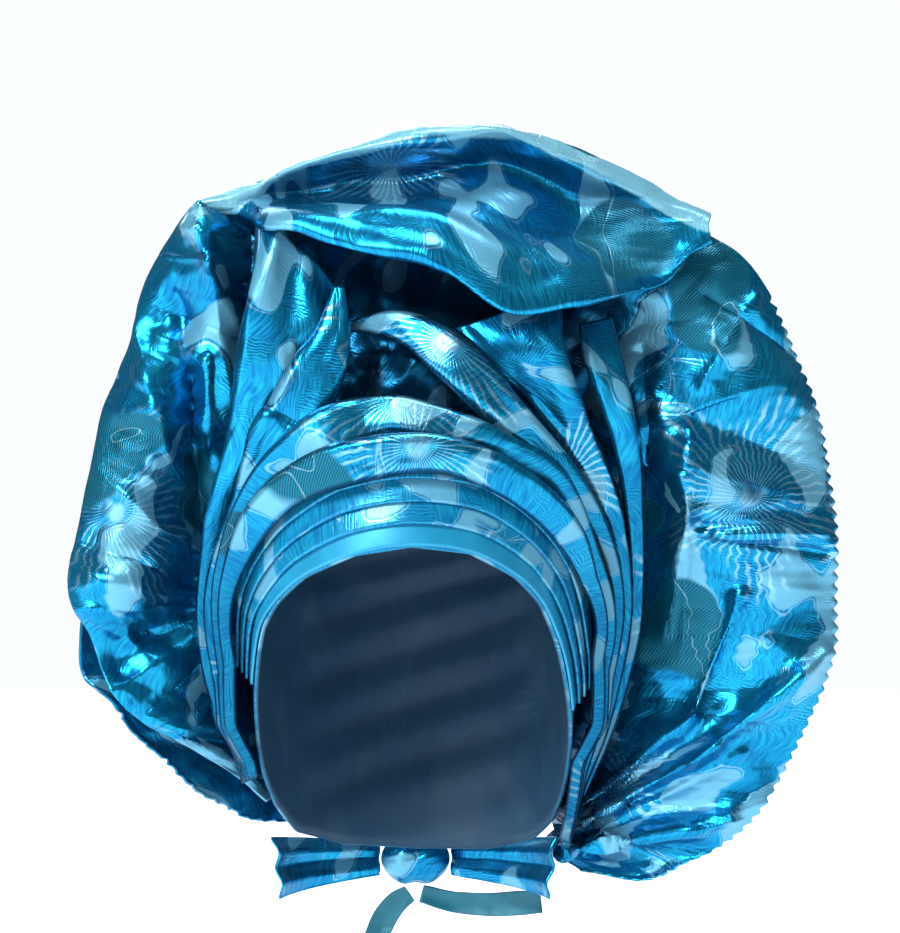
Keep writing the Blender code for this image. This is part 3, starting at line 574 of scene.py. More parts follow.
CROWN_FOLDS = {
    # x, z, forward, half width, rise
    "brow_roll": (
        (-0.408, -0.450, 0.00, 0.012, 0.020),
        (-0.455, -0.250, 0.18, 0.013, 0.025),
        (-0.482, -0.050, 0.34, 0.014, 0.030),
        (-0.450, 0.100, 0.52, 0.024, 0.040),
        (-0.355, 0.250, 0.75, 0.040, 0.060),
        (-0.200, 0.340, 0.90, 0.048, 0.070),
        (-0.010, 0.372, 0.96, 0.046, 0.070),
        (0.150, 0.335, 0.91, 0.044, 0.070),
        (0.275, 0.240, 0.77, 0.038, 0.060),
        (0.375, 0.100, 0.55, 0.026, 0.040),
        (0.430, -0.050, 0.34, 0.014, 0.030),
        (0.402, -0.250, 0.15, 0.013, 0.025),
        (0.362, -0.450, 0.00, 0.012, 0.020),
        (0.300, -0.610, -0.12, 0.010, 0.018),
    ),
    "crown_roll": (
        (-0.414, -0.455, -0.05, 0.012, 0.020),
        (-0.475, -0.250, 0.12, 0.013, 0.025),
        (-0.502, -0.020, 0.29, 0.014, 0.030),
        (-0.465, 0.150, 0.46, 0.022, 0.040),
        (-0.370, 0.325, 0.65, 0.034, 0.050),
        (-0.220, 0.420, 0.80, 0.060, 0.080),
        (-0.090, 0.472, 0.84, 0.044, 0.060),
        (0.030, 0.448, 0.85, 0.042, 0.060),
        (0.170, 0.390, 0.80, 0.036, 0.060),
        (0.307, 0.305, 0.66, 0.032, 0.050),
        (0.400, 0.130, 0.47, 0.022, 0.040),
        (0.452, -0.050, 0.29, 0.014, 0.030),
        (0.422, -0.250, 0.09, 0.013, 0.025),
        (0.375, -0.450, -0.06, 0.012, 0.020),
        (0.308, -0.620, -0.165, 0.010, 0.018),
    ),
    "left_rise": (
        (-0.200, 0.780, 0.58, 0.014, 0.030),
        (-0.215, 0.665, 0.64, 0.044, 0.060),
        (-0.245, 0.580, 0.65, 0.068, 0.080),
        (-0.305, 0.470, 0.62, 0.066, 0.080),
        (-0.380, 0.350, 0.53, 0.042, 0.060),
        (-0.450, 0.220, 0.42, 0.026, 0.040),
        (-0.510, 0.050, 0.28, 0.016, 0.030),
        (-0.520, -0.080, 0.19, 0.013, 0.025),
        (-0.492, -0.250, 0.080, 0.013, 0.025),
        (-0.420, -0.460, -0.10, 0.012, 0.020),
    ),
    "left_panel": (
        (-0.305, 0.880, 0.44, 0.100, 0.060),
        (-0.330, 0.740, 0.50, 0.094, 0.070),
        (-0.370, 0.600, 0.49, 0.072, 0.070),
        (-0.425, 0.440, 0.42, 0.044, 0.050),
        (-0.480, 0.280, 0.34, 0.030, 0.040),
        (-0.530, 0.080, 0.22, 0.017, 0.030),
        (-0.542, -0.080, 0.13, 0.014, 0.025),
        (-0.510, -0.250, 0.034, 0.013, 0.025),
        (-0.426, -0.465, -0.15, 0.012, 0.020),
    ),
    "arch_fold": (
        (-0.205, 0.676, 0.50, 0.006, 0.015),
        (-0.125, 0.690, 0.57, 0.020, 0.040),
        (-0.035, 0.680, 0.66, 0.040, 0.060),
        (0.070, 0.612, 0.74, 0.057, 0.080),
        (0.180, 0.500, 0.72, 0.048, 0.070),
        (0.275, 0.400, 0.63, 0.037, 0.060),
        (0.350, 0.310, 0.54, 0.029, 0.050),
        (0.430, 0.170, 0.40, 0.020, 0.040),
        (0.474, -0.010, 0.24, 0.014, 0.030),
        (0.441, -0.250, 0.036, 0.013, 0.025),
        (0.386, -0.450, -0.112, 0.012, 0.020),
        (0.315, -0.630, -0.202, 0.010, 0.018),
    ),
    "right_rise": (
        (0.195, 0.720, 0.50, 0.140, 0.060),
        (0.240, 0.630, 0.56, 0.105, 0.070),
        (0.300, 0.530, 0.54, 0.068, 0.070),
        (0.350, 0.450, 0.49, 0.052, 0.060),
        (0.410, 0.350, 0.41, 0.036, 0.050),
        (0.465, 0.200, 0.31, 0.022, 0.040),
        (0.496, 0.000, 0.18, 0.014, 0.030),
        (0.462, -0.250, -0.03, 0.013, 0.025),
        (0.398, -0.450, -0.166, 0.012, 0.020),
        (0.322, -0.635, -0.242, 0.010, 0.018),
    ),
    "right_roll": (
        (0.420, 0.700, 0.40, 0.040, 0.050),
        (0.445, 0.590, 0.44, 0.044, 0.060),
        (0.475, 0.460, 0.43, 0.036, 0.060),
        (0.500, 0.340, 0.37, 0.028, 0.050),
        (0.517, 0.200, 0.28, 0.019, 0.040),
        (0.523, 0.050, 0.15, 0.016, 0.030),
        (0.518, -0.080, 0.06, 0.014, 0.025),
        (0.482, -0.250, -0.09, 0.013, 0.025),
        (0.413, -0.450, -0.238, 0.012, 0.020),
        (0.332, -0.640, -0.30, 0.010, 0.018),
    ),
}
FOLD_LOOKS = {
    # layers out at the temples, figure's shift u and v, figure's turn, crease height, end slope
    "brow_roll": (0, 0.30, 0.10, 90, 0.0018, 0.0),
    "crown_roll": (1, 0.52, 0.22, 80, 0.0026, 0.0),
    "left_rise": (2, 0.10, 0.61, 20, 0.0030, 0.0),
    "left_panel": (3, 0.83, 0.35, 10, 0.0040, -0.085),
    "arch_fold": (2, 0.44, 0.75, 60, 0.0030, 0.0),
    "right_rise": (3, 0.67, 0.05, 30, 0.0040, -0.020),
    "right_roll": (4, 0.21, 0.93, 0, 0.0024, 0.0),
}
FOLD_FLOWERS = {
    # x, z
    "brow_roll": (-0.010, 0.385),
    "crown_roll": (-0.050, 0.500),
    "arch_fold": (0.060, 0.640),
}


def on_chart(x, z, forward):
    """The real place of a point charted from the front, where 1 is the fan's radius."""
    x = x - DRAWN_MIDDLE
    drawn_up = np.where(z >= 0, DRAWN_HEIGHT, DRAWN_DEPTH)
    real_up = np.where(z >= 0, WRAPPED_HEIGHT, NAPE_DROP * DRAWN_DEPTH / DRAWN_NAPE)
    out = np.sqrt((x / DRAWN_HALF_WIDTH) ** 2 + (z / drawn_up) ** 2)
    inside = 1 / np.maximum(out, 1)
    place_x = x * inside / DRAWN_HALF_WIDTH * WRAPPED_HALF_WIDTH + x * (1 - inside) * FAN_REACH
    place_z = z * inside / drawn_up * real_up + z * (1 - inside) * FAN_REACH
    fan_share = np.clip(out - 1, 0, 1)
    depth = WRAPPED_HALF_LENGTH + (FAN_DEPTH - WRAPPED_HALF_LENGTH) * fan_share
    return np.stack([place_x, -forward * depth, place_z], axis=-1)


def flat_place(points, x, z):
    """Where on the flat cloth the point lies that shows at that place of the chart."""
    aim = on_chart(np.array(x), np.array(z), 0.0)
    off = np.hypot(points[..., 0] - aim[0], points[..., 2] - aim[2])
    nearest = np.unravel_index(off.argmin(), off.shape)
    return tuple(float(measure[nearest]) for measure in spread_out(points))


def out_of_head(points, layers):
    """How many times further out each point lies, to clear the hood, the pleats and the layers."""
    x, y, z = points[..., 0], points[..., 1], points[..., 2]
    in_front = np.clip(1 - y / (0.12 * HEAD_LENGTH), 0, 1)
    below_top = np.clip((0.90 - z / HEAD_HEIGHT) / 0.10, 0, 1)
    pleats = BROW_PLEATS * np.clip((z / NAPE_DROP + 0.62) / 0.15, 0, 1) * in_front * below_top
    beside = layers * np.clip((0.30 - z / HEAD_HEIGHT) / 0.40, 0, 1)
    lift = HOOD_WALL + SEAT + CLOTH / 2 + LAYER * (pleats + beside) + CLEAR * pleats / BROW_PLEATS
    up = np.clip(z / (HEAD_HEIGHT + lift), 0, 0.999)
    down = np.clip(-z / NAPE_DROP, 0, 1.2)
    ring = (1 - up**ROUND_POWER) ** (1 / ROUND_POWER)
    narrow = 1 - NECK_NARROWS * down**2
    shorten = 1 - NECK_SHORTENS * down**2 * (y > 0)
    across = x / (HEAD_WIDTH / 2 + lift) / narrow
    behind = y / (HEAD_LENGTH / 2 + lift) / shorten
    return np.maximum(ring / np.maximum(np.hypot(across, behind), 0.05), 1)


def moved_out(points, times):
    """The points moved straight out from the hollow's upright axis."""
    return points * np.stack([times, times, np.ones_like(times)], axis=-1)


for name, rows in CROWN_FOLDS.items():
    layers, shift_u, shift_v, turn_deg, crease, slope = FOLD_LOOKS[name]
    x, z, forward, half_width, rise = smooth(rows, 181).T
    along = np.stack([np.gradient(x), np.gradient(z)], axis=1)
    along /= np.linalg.norm(along, axis=1)[:, None]
    ending = slope * np.clip(1 - np.linspace(0, 4, len(x)), 0, 1)
    lines = []
    for turn in np.radians(FOLD_TURNS_DEG):
        side = half_width * math.copysign(abs(math.sin(turn)) ** 0.75, turn)
        back = rise * FULL_TURN * ((1 - math.cos(turn)) / FULL_TURN) ** FOLD_FLATNESS
        level = z + along[:, 0] * side + ending * math.sin(turn)
        lines.append(on_chart(x - along[:, 1] * side, level, forward - back))
    points = np.array(lines).transpose(1, 0, 2)
    times = out_of_head(points, layers).max(axis=1, keepdims=True)
    points = moved_out(points, np.repeat(times, points.shape[1], axis=1))
    broad = np.clip(half_width / 0.04, 0.15, 1)[:, None, None]
    creased_points = crumple(points, crease, 0.020, 100 + turn_deg + layers, (1.0, 0.35))
    points = points + (creased_points - points) * broad
    # Painted shade on each fold's turned-back sides, and more where it narrows into the gathers.
    narrow = np.clip(1 - (half_width - 0.012) / 0.024, 0, 1)[:, None]
    painted_shade_on_sides = (np.abs(FOLD_TURNS_DEG) - 58 + 44 * narrow) / 30
    painted_shade = np.clip(np.maximum(painted_shade_on_sides, 0.60 * narrow), 0, 1)
    flower = flat_place(points, *FOLD_FLOWERS[name]) if name in FOLD_FLOWERS else NO_FLOWER
    finish = brocade(f"{name} brocade", (shift_u, shift_v), turn_deg, flower=flower)
    fold = lay_cloth(name, points, finish, painted_shade=painted_shade)


# Crown floor
# The cloth at the bottom of the dark hollows behind the crown's folds. It lies on the hood and
# runs up behind the folds. Its colour is darkened almost to navy all over with painted shade.
CROWN_FLOOR = (
    # z, left x, right x, forward at the middle, forward at the sides
    (0.480, -0.330, 0.380, 0.42, 0.14),
    (0.620, -0.370, 0.430, 0.40, 0.14),
    (0.700, -0.380, 0.450, 0.31, 0.13),
    (0.800, -0.375, 0.480, 0.21, 0.12),
    (0.880, -0.365, 0.505, 0.15, 0.12),
    (0.950, -0.350, 0.520, 0.13, 0.12),
)

z, left, right, middle, sides = smooth(CROWN_FLOOR, 61).T
lines = []
for share in np.linspace(0, 1, 81):
    arch = math.sin(math.pi * share)
    lines.append(on_chart(left + (right - left) * share, z, sides + (middle - sides) * arch))
points = np.array(lines).transpose(1, 0, 2)
points = moved_out(points, out_of_head(points, 0))
points = crumple(points, 0.0050, 0.03, 31)
finish = brocade("crown floor brocade", (0.3, 0.3), 15)
# Painted shade darkens the whole floor.
floor_cloth = lay_cloth("crown_floor", points, finish, painted_shade=0.88)


# Fan wings
# The cloth spread wide on both sides of the hood, from the gathers at the temples to the rim.
# The right wing ends in the cloth's own cut edge, which is pinked in small teeth.
TOOTH_PITCH = 0.0060
TOOTH_DEPTH = 0.0024
NO_TEETH = -9.0
WING_LINES = 91

LEFT_WING = (
    # inner x, inner z, inner forward, rim x, rim z, rim forward, fullness
    (-0.395, 0.905, 0.12, -0.552, 1.000, 0.20, 0.04),
    (-0.385, 0.838, 0.10, -0.592, 0.955, 0.15, 0.10),
    (-0.360, 0.745, 0.08, -0.650, 0.875, 0.12, 0.14),
    (-0.345, 0.640, 0.07, -0.697, 0.780, 0.10, 0.17),
    (-0.335, 0.525, 0.06, -0.722, 0.675, 0.10, 0.18),
    (-0.350, 0.410, 0.02, -0.760, 0.562, 0.10, 0.18),
    (-0.395, 0.300, 0.00, -0.797, 0.462, 0.10, 0.18),
    (-0.425, 0.195, -0.05, -0.822, 0.338, 0.10, 0.18),
    (-0.440, 0.100, -0.12, -0.848, 0.212, 0.12, 0.19),
    (-0.425, 0.000, -0.20, -0.870, 0.100, 0.15, 0.19),
    (-0.415, -0.080, -0.24, -0.867, 0.008, 0.18, 0.17),
    (-0.410, -0.162, -0.28, -0.822, -0.080, 0.20, 0.14),
    (-0.405, -0.240, -0.31, -0.772, -0.215, 0.20, 0.08),
    (-0.395, -0.315, -0.35, -0.697, -0.298, 0.14, 0.06),
    (-0.385, -0.385, -0.39, -0.605, -0.355, 0.00, 0.02),
    (-0.378, -0.450, -0.42, -0.485, -0.442, -0.20, 0.01),
    (-0.365, -0.505, -0.44, -0.395, -0.520, -0.26, 0.00),
)
RIGHT_WING = (
    # inner x, inner z, inner forward, rim x, rim z, rim forward, fullness
    (0.540, 0.900, 0.14, 0.690, 0.925, 0.17, 0.00),
    (0.475, 0.800, 0.16, 0.787, 0.862, 0.18, 0.06),
    (0.415, 0.695, 0.12, 0.862, 0.758, 0.14, 0.10),
    (0.365, 0.570, 0.09, 0.927, 0.612, 0.12, 0.14),
    (0.320, 0.440, 0.05, 0.980, 0.462, 0.10, 0.16),
    (0.335, 0.295, -0.02, 1.015, 0.300, 0.08, 0.18),
    (0.365, 0.150, -0.15, 1.030, 0.138, 0.06, 0.18),
    (0.375, 0.000, -0.25, 1.030, -0.012, 0.05, 0.17),
    (0.365, -0.130, -0.30, 1.025, -0.130, 0.06, 0.15),
    (0.357, -0.260, -0.36, 0.965, -0.288, 0.04, 0.13),
    (0.350, -0.370, -0.41, 0.907, -0.420, 0.00, 0.11),
    (0.342, -0.460, -0.46, 0.830, -0.545, -0.02, 0.09),
    (0.333, -0.545, -0.50, 0.737, -0.625, -0.02, 0.07),
    (0.325, -0.600, -0.52, 0.650, -0.665, -0.03, 0.05),
    (0.318, -0.640, -0.54, 0.550, -0.710, -0.08, 0.03),
    (0.310, -0.665, -0.54, 0.400, -0.700, -0.30, 0.00),
)
LEFT_CREASES = (
    # x, z, to x, to z, forward, reach at the start, reach at the end
    (-0.550, 0.990, -0.470, 0.520, 0.10, 0.05, 0.08),
    (-0.600, 0.760, -0.545, 0.150, -0.10, 0.05, 0.04),
    (-0.860, 0.080, -0.560, 0.000, 0.08, 0.12, 0.04),
    (-0.720, -0.130, -0.570, -0.040, -0.07, 0.07, 0.04),
    (-0.690, -0.280, -0.490, -0.410, 0.05, 0.05, 0.02),
)
RIGHT_CREASES = (
    # x, z, to x, to z, forward, reach at the start, reach at the end
    (0.650, 0.380, 0.640, -0.080, 0.12, 0.05, 0.08),
    (0.730, 0.165, 1.030, 0.140, 0.05, 0.03, 0.05),
    (0.550, 0.440, 0.790, 0.520, 0.05, 0.06, 0.05),
    (0.340, -0.610, 0.690, -0.285, 0.06, 0.01, 0.05),
    (0.360, -0.600, 0.940, -0.190, 0.08, 0.01, 0.05),
    (0.360, -0.640, 0.780, -0.390, 0.06, 0.01, 0.04),
    (0.350, -0.660, 0.850, -0.510, 0.05, 0.01, 0.04),
)
LEFT_PLEATS = (
    # x, z, to x, to z, forward, reach at the start, reach at the end
    (-0.575, 0.992, -0.522, 0.838, 0.060, 0.012, 0.020),
    (-0.522, 0.838, -0.460, 0.700, 0.060, 0.020, 0.030),
    (-0.435, 1.020, -0.430, 0.675, -0.060, 0.020, 0.030),
    (-0.640, 0.865, -0.520, 0.850, 0.030, 0.010, 0.006),
    (-0.570, 0.575, -0.570, 0.150, -0.080, 0.020, 0.030),
    (-0.530, 0.600, -0.530, 0.390, 0.060, 0.010, 0.018),
    (-0.720, 0.690, -0.600, 0.300, 0.045, 0.030, 0.020),
    (-0.500, 0.060, -0.800, 0.330, 0.045, 0.008, 0.050),
    (-0.500, 0.020, -0.860, 0.150, -0.050, 0.008, 0.045),
    (-0.550, 0.000, -0.688, -0.083, -0.060, 0.012, 0.020),
    (-0.500, -0.020, -0.840, -0.020, 0.050, 0.008, 0.050),
    (-0.500, -0.060, -0.760, -0.220, 0.045, 0.008, 0.040),
    (-0.500, -0.100, -0.700, -0.290, -0.040, 0.008, 0.030),
    (-0.480, -0.200, -0.600, -0.350, 0.030, 0.006, 0.020),
)
RIGHT_PLEATS = (
    # x, z, to x, to z, forward, reach at the start, reach at the end
    (0.385, -0.645, 0.450, -0.610, 0.045, 0.006, 0.010),
    (0.280, -0.617, 0.490, -0.517, 0.060, 0.006, 0.015),
    (0.347, -0.575, 0.665, -0.288, 0.080, 0.006, 0.020),
    (0.390, -0.578, 0.722, -0.368, 0.080, 0.006, 0.020),
    (0.300, -0.568, 0.450, -0.278, 0.070, 0.006, 0.018),
    (0.320, -0.582, 0.465, -0.365, -0.060, 0.006, 0.018),
    (0.388, -0.642, 0.765, -0.558, 0.080, 0.008, 0.025),
    (0.995, -0.133, 0.665, -0.402, 0.060, 0.020, 0.014),
    (0.780, 0.012, 0.665, -0.280, 0.050, 0.020, 0.012),
    (0.632, 0.312, 0.640, 0.220, 0.060, 0.010, 0.030),
    (0.640, 0.220, 0.595, -0.088, 0.070, 0.030, 0.012),
    (0.672, 0.170, 0.988, 0.168, 0.040, 0.010, 0.014),
    (0.772, 0.152, 0.995, 0.120, -0.035, 0.008, 0.012),
    (0.540, 0.620, 0.560, 0.350, -0.040, 0.020, 0.030),
    (0.820, 0.760, 0.690, 0.560, 0.045, 0.020, 0.030),
    (0.700, 0.760, 0.930, 0.600, -0.040, 0.020, 0.030),
)


def creased(x, z, creases):
    """How far the creases push a point of the chart forward."""
    forward = np.zeros_like(x)
    for from_x, from_z, to_x, to_z, height, narrow, wide in creases:
        run_x, run_z = to_x - from_x, to_z - from_z
        length = math.hypot(run_x, run_z)
        along = ((x - from_x) * run_x + (z - from_z) * run_z) / length**2
        aside = np.abs((x - from_x) * run_z - (z - from_z) * run_x) / length
        reach = narrow + (wide - narrow) * np.clip(along, 0, 1)
        past = np.maximum(np.maximum(-along, along - 1), 0) * length
        forward += height * np.exp(-((aside / reach) ** 1.15) - (past / reach) ** 2)
    return forward


def spread(spokes, creases, lengths, widths, teeth_below=NO_TEETH):
    """A spread sheet of the fan, from its gathered inner edge to its rim.

    Its rim is pinked below that height of the chart.
    """
    rows = smooth(spokes, lengths)
    steps = np.hypot(np.diff(rows[:, 3]), np.diff(rows[:, 4]))
    run = np.concatenate([[0], np.cumsum(steps)]) * FAN_REACH
    tooth = np.abs(run / TOOTH_PITCH % 1 - 0.5) * 2 * TOOTH_DEPTH / FAN_REACH
    bite = tooth * (rows[:, 4] < teeth_below)
    out_x, out_z = rows[:, 3] - rows[:, 0], rows[:, 4] - rows[:, 1]
    reach = np.hypot(out_x, out_z)
    lines = []
    for out in np.linspace(0, 1, widths):
        pull = 1 - bite / reach * max(0, (out - 0.97) / 0.03)
        x = rows[:, 0] + out_x * out * pull
        z = rows[:, 1] + out_z * out * pull
        forward = rows[:, 2] * (1 - out) + rows[:, 5] * out + rows[:, 6] * math.sin(math.pi * out**1.7)
        lines.append(on_chart(x, z, forward + creased(x, z, creases)))
    points = np.array(lines).transpose(1, 0, 2)
    return moved_out(points, out_of_head(points, 0))


out = np.linspace(0, 1, WING_LINES)
calm_at_rim = np.clip((1 - out) / 0.12, 0.2, 1)[:, None]
# Painted shade near the gathered inner edge of each wing.
painted_shade_at_gathers = np.clip((0.30 - out) / 0.22, 0, 1)

laid_out = spread(LEFT_WING, LEFT_CREASES + LEFT_PLEATS, 241, WING_LINES)
wrinkled = crumple(laid_out, 0.0060, 0.030, 41, (0.55, 1.0))
points = laid_out + (wrinkled - laid_out) * calm_at_rim
finish = brocade("left wing brocade", (0.72, 0.18), 20, flower=flat_place(points, -0.760, 0.230))
wing = lay_cloth("left_wing", points, finish, painted_shade=painted_shade_at_gathers)

laid_out = spread(RIGHT_WING, RIGHT_CREASES + RIGHT_PLEATS, 401, WING_LINES, teeth_below=0.76)
wrinkled = crumple(laid_out, 0.0050, 0.034, 43, (0.55, 1.0))
points = laid_out + (wrinkled - laid_out) * calm_at_rim
finish = brocade("right wing brocade", (0.15, 0.55), -10, flower=flat_place(points, 0.800, 0.260))
wing = lay_cloth("right_wing", points, finish, painted_shade=painted_shade_at_gathers)


# Back layer
# The second layer of the fan. It leaves the back of the hood, closes the fan behind and shows
# past the front layer at the lower left, where its rim is pinked too.
BACK_LAYER = (
    # inner x, inner z, inner forward, rim x, rim z, rim forward, fullness
    (-0.330, -0.555, -0.58, -0.358, -0.577, -0.50, 0.00),
    (-0.340, -0.490, -0.58, -0.450, -0.565, -0.34, 0.00),
    (-0.355, -0.400, -0.56, -0.538, -0.515, -0.22, 0.00),
    (-0.370, -0.280, -0.52, -0.650, -0.412, -0.10, 0.00),
    (-0.380, -0.150, -0.47, -0.775, -0.270, -0.02, 0.00),
    (-0.383, 0.000, -0.44, -0.853, -0.180, -0.02, 0.00),
    (-0.380, 0.150, -0.42, -0.850, 0.010, -0.05, 0.00),
    (-0.355, 0.250, -0.41, -0.810, 0.200, -0.06, 0.00),
    (-0.315, 0.340, -0.40, -0.770, 0.400, -0.06, 0.00),
    (-0.265, 0.405, -0.39, -0.720, 0.600, -0.05, 0.00),
    (-0.215, 0.455, -0.38, -0.655, 0.800, -0.02, 0.00),
    (-0.160, 0.480, -0.38, -0.545, 0.960, 0.06, 0.00),
    (-0.110, 0.495, -0.38, -0.425, 1.042, 0.13, 0.00),
    (-0.060, 0.500, -0.38, -0.300, 1.102, 0.155, 0.00),
    (-0.020, 0.500, -0.38, -0.175, 1.142, 0.178, 0.00),
    (0.020, 0.500, -0.38, -0.050, 1.186, 0.180, 0.00),
    (0.070, 0.495, -0.38, 0.075, 1.192, 0.180, 0.00),
    (0.120, 0.480, -0.38, 0.200, 1.184, 0.195, 0.00),
    (0.170, 0.455, -0.38, 0.350, 1.142, 0.200, 0.00),
    (0.220, 0.405, -0.39, 0.475, 1.086, 0.190, 0.00),
    (0.270, 0.335, -0.40, 0.575, 1.025, 0.150, 0.00),
    (0.310, 0.250, -0.41, 0.640, 0.930, 0.080, 0.00),
)
BACK_CREASES = (
    # x, z, to x, to z, forward, reach at the start, reach at the end
    (-0.320, 0.480, -0.640, 0.780, 0.04, 0.04, 0.08),
    (-0.110, 0.580, -0.230, 0.960, -0.05, 0.04, 0.08),
    (0.110, 0.580, 0.170, 0.880, 0.04, 0.04, 0.07),
    (0.310, 0.450, 0.530, 0.950, -0.05, 0.04, 0.08),
    (-0.470, 0.100, -0.820, 0.100, -0.05, 0.04, 0.08),
    (-0.450, -0.300, -0.700, -0.330, 0.04, 0.04, 0.07),
)

laid_out = spread(BACK_LAYER, BACK_CREASES, 301, 61, teeth_below=-0.28)
points = crumple(laid_out, 0.0050, 0.032, 47, (0.5, 1.0))
finish = brocade("back brocade", (0.9, 0.9), 0)
# Painted shade darkens the whole back layer a little.
back = lay_cloth("back_layer", points, finish, painted_shade=0.25)


# Top fold
# The broad end of the cloth that falls forward from the top of the fan. Its rim is turned over,
# so a strip of the pale reverse shows along it, and its lip hangs over the crown's hollows.
REVERSE_WIDTH = 0.0260
REVERSE = (0.16, 0.40, 0.50, 1)
TOP_LINES = 97

TOP_FOLD = (
    # x, z: rim, brow, hollow, crease, belly, lip; forward: rim, brow, hollow, crease, belly, lip
    (-0.556, 1.000, 0.995, 0.988, 0.982, 0.974, 0.962, 0.20, 0.22, 0.22, 0.22, 0.21, 0.20),
    (-0.470, 1.022, 1.010, 0.998, 0.990, 0.982, 0.975, 0.20, 0.23, 0.23, 0.23, 0.22, 0.21),
    (-0.420, 1.045, 1.030, 1.010, 0.995, 0.975, 0.955, 0.16, 0.22, 0.20, 0.22, 0.28, 0.30),
    (-0.375, 1.068, 1.055, 1.025, 1.000, 0.965, 0.930, 0.15, 0.27, 0.18, 0.23, 0.46, 0.52),
    (-0.300, 1.102, 1.085, 1.035, 0.995, 0.968, 0.915, 0.18, 0.33, 0.17, 0.24, 0.56, 0.62),
    (-0.175, 1.142, 1.120, 1.055, 1.006, 0.962, 0.870, 0.20, 0.37, 0.18, 0.26, 0.61, 0.68),
    (-0.050, 1.190, 1.140, 1.070, 1.012, 0.958, 0.847, 0.20, 0.40, 0.18, 0.27, 0.64, 0.72),
    (0.062, 1.198, 1.155, 1.085, 1.008, 0.930, 0.807, 0.20, 0.40, 0.19, 0.30, 0.67, 0.76),
    (0.200, 1.186, 1.165, 1.095, 0.995, 0.868, 0.712, 0.22, 0.38, 0.20, 0.35, 0.67, 0.80),
    (0.350, 1.142, 1.100, 1.030, 0.955, 0.845, 0.735, 0.22, 0.36, 0.22, 0.28, 0.56, 0.70),
    (0.475, 1.088, 1.045, 0.985, 0.910, 0.830, 0.760, 0.22, 0.32, 0.28, 0.33, 0.46, 0.55),
    (0.575, 1.033, 1.000, 0.960, 0.900, 0.830, 0.782, 0.22, 0.30, 0.28, 0.32, 0.40, 0.44),
    (0.640, 0.995, 0.972, 0.945, 0.912, 0.875, 0.850, 0.24, 0.28, 0.28, 0.31, 0.36, 0.38),
    (0.700, 0.958, 0.946, 0.934, 0.922, 0.910, 0.898, 0.25, 0.28, 0.30, 0.31, 0.32, 0.32),
)

rows = smooth(TOP_FOLD, 241)
x, heights, forwards = rows[:, 0], rows[:, 1:7], rows[:, 7:13]
tucked_height = heights[:, 5] + (heights[:, 4] - heights[:, 5]) / 2
tucked_forward = forwards[:, 5] * 0.72
heights = np.column_stack([heights, tucked_height])
forwards = np.column_stack([forwards, tucked_forward])
stages = np.stack([heights.T, forwards.T], axis=2).reshape(7, -1)
down = smooth(stages, TOP_LINES).reshape(TOP_LINES, len(x), 2)
points = np.array([on_chart(x, row[:, 0], row[:, 1]) for row in down]).transpose(1, 0, 2)
points = crumple(points, 0.0042, 0.034, 53, (1.0, 0.5))
share_down = np.linspace(0, 1, TOP_LINES)
# Painted shade under the lip and in a band below the rim, where the cloth faces down.
under = np.clip((share_down - 0.84) / 0.05, 0, 1)
painted_shade_band = 0.55 * np.exp(-(((share_down - 0.30) / 0.11) ** 2))
top_finish = brocade("top brocade", (0.38, 0.68), 70)
top = lay_cloth("top_fold", points, top_finish, painted_shade=under + painted_shade_band)
from_rim = spread_out(points)[0] - spread_out(points)[0][:, :1]
reverse_width = REVERSE_WIDTH * (0.55 + 0.45 * np.exp(-((x / 0.32) ** 2)))
reverse_shown = np.clip((reverse_width[:, None] - from_rim) / 0.0015, 0, 1).reshape(-1)
shown = top.data.attributes.new("Reverse", "FLOAT", "POINT")
shown.data.foreach_set("value", np.tile(reverse_shown, len(top.data.vertices) // len(reverse_shown)))
tree = top_finish.node_tree
shader = tree.nodes["Principled BSDF"]
figured = shader.inputs["Base Color"].links[0].from_socket
mask = add_node(tree, "ShaderNodeAttribute", {}, attribute_name="Reverse").outputs["Fac"]
colour = blend(tree, calc(tree, "MULTIPLY", mask, 0.85), figured, REVERSE)
tree.links.new(colour, shader.inputs["Base Color"])
metal = shader.inputs["Metallic"].links[0].from_socket
duller = calc(tree, "MULTIPLY_ADD", mask, -0.75, 1.0)
tree.links.new(calc(tree, "MULTIPLY", metal, duller), shader.inputs["Metallic"])


# Tie ends
# The two gathered ends of the cloth. They start at the sides, below the gathers, and run round
# under the hood's back to the knot.
KNOT_WIDTH = 0.034
KNOT_HEIGHT = 0.026
KNOT_DEPTH = 0.022
TIE_START_DEG = 112.0
TIE_LEVEL = -1.05
TIE_HEIGHT = 0.24
TIE_NARROWS = 0.45
TIE_PLEAT = 0.0015
TIE_CREASE = 0.0006

middle = on_head(180.0, TIE_LEVEL, 0.0)
knot_level = TIE_LEVEL + KNOT_HEIGHT / 2 / NAPE_DROP
knot_top = on_head(180.0, knot_level, HOOD_WALL + CLEAR + KNOT_DEPTH / 2)
knot_place = np.array([0.0, knot_top[1], middle[2]])

for name, side in (("tie_end_left", -1), ("tie_end_right", 1)):
    last = 180 - math.degrees(math.asin((KNOT_WIDTH / 2 + CLEAR) / knot_place[1]))
    knot_side = knot_place + (side * (KNOT_WIDTH + CLEAR) / 2, 0, 0)
    to_knot = knot_side - on_head(side * last, TIE_LEVEL, HOOD_WALL)
    angles = np.linspace(TIE_START_DEG, last, 61)
    along = (angles - TIE_START_DEG) / (last - TIE_START_DEG)
    lines = []
    for share in np.linspace(0, 1, 49):
        level = TIE_LEVEL + (share - 0.5) * TIE_HEIGHT * (1 - TIE_NARROWS * along)
        pleat = TIE_PLEAT * (1 + math.cos(4 * math.pi * share))
        line = on_head(side * angles, level, HOOD_WALL + CLEAR + CLOTH / 2 + pleat)
        lines.append(line + to_knot * along[:, None] ** 2)
    points = crumple(np.array(lines).transpose(1, 0, 2), TIE_CREASE, 0.016, 59 + side)
    finish = brocade(f"{name} brocade", (0.2, 0.5 * side), 90)
    end = lay_cloth(name, points, finish)


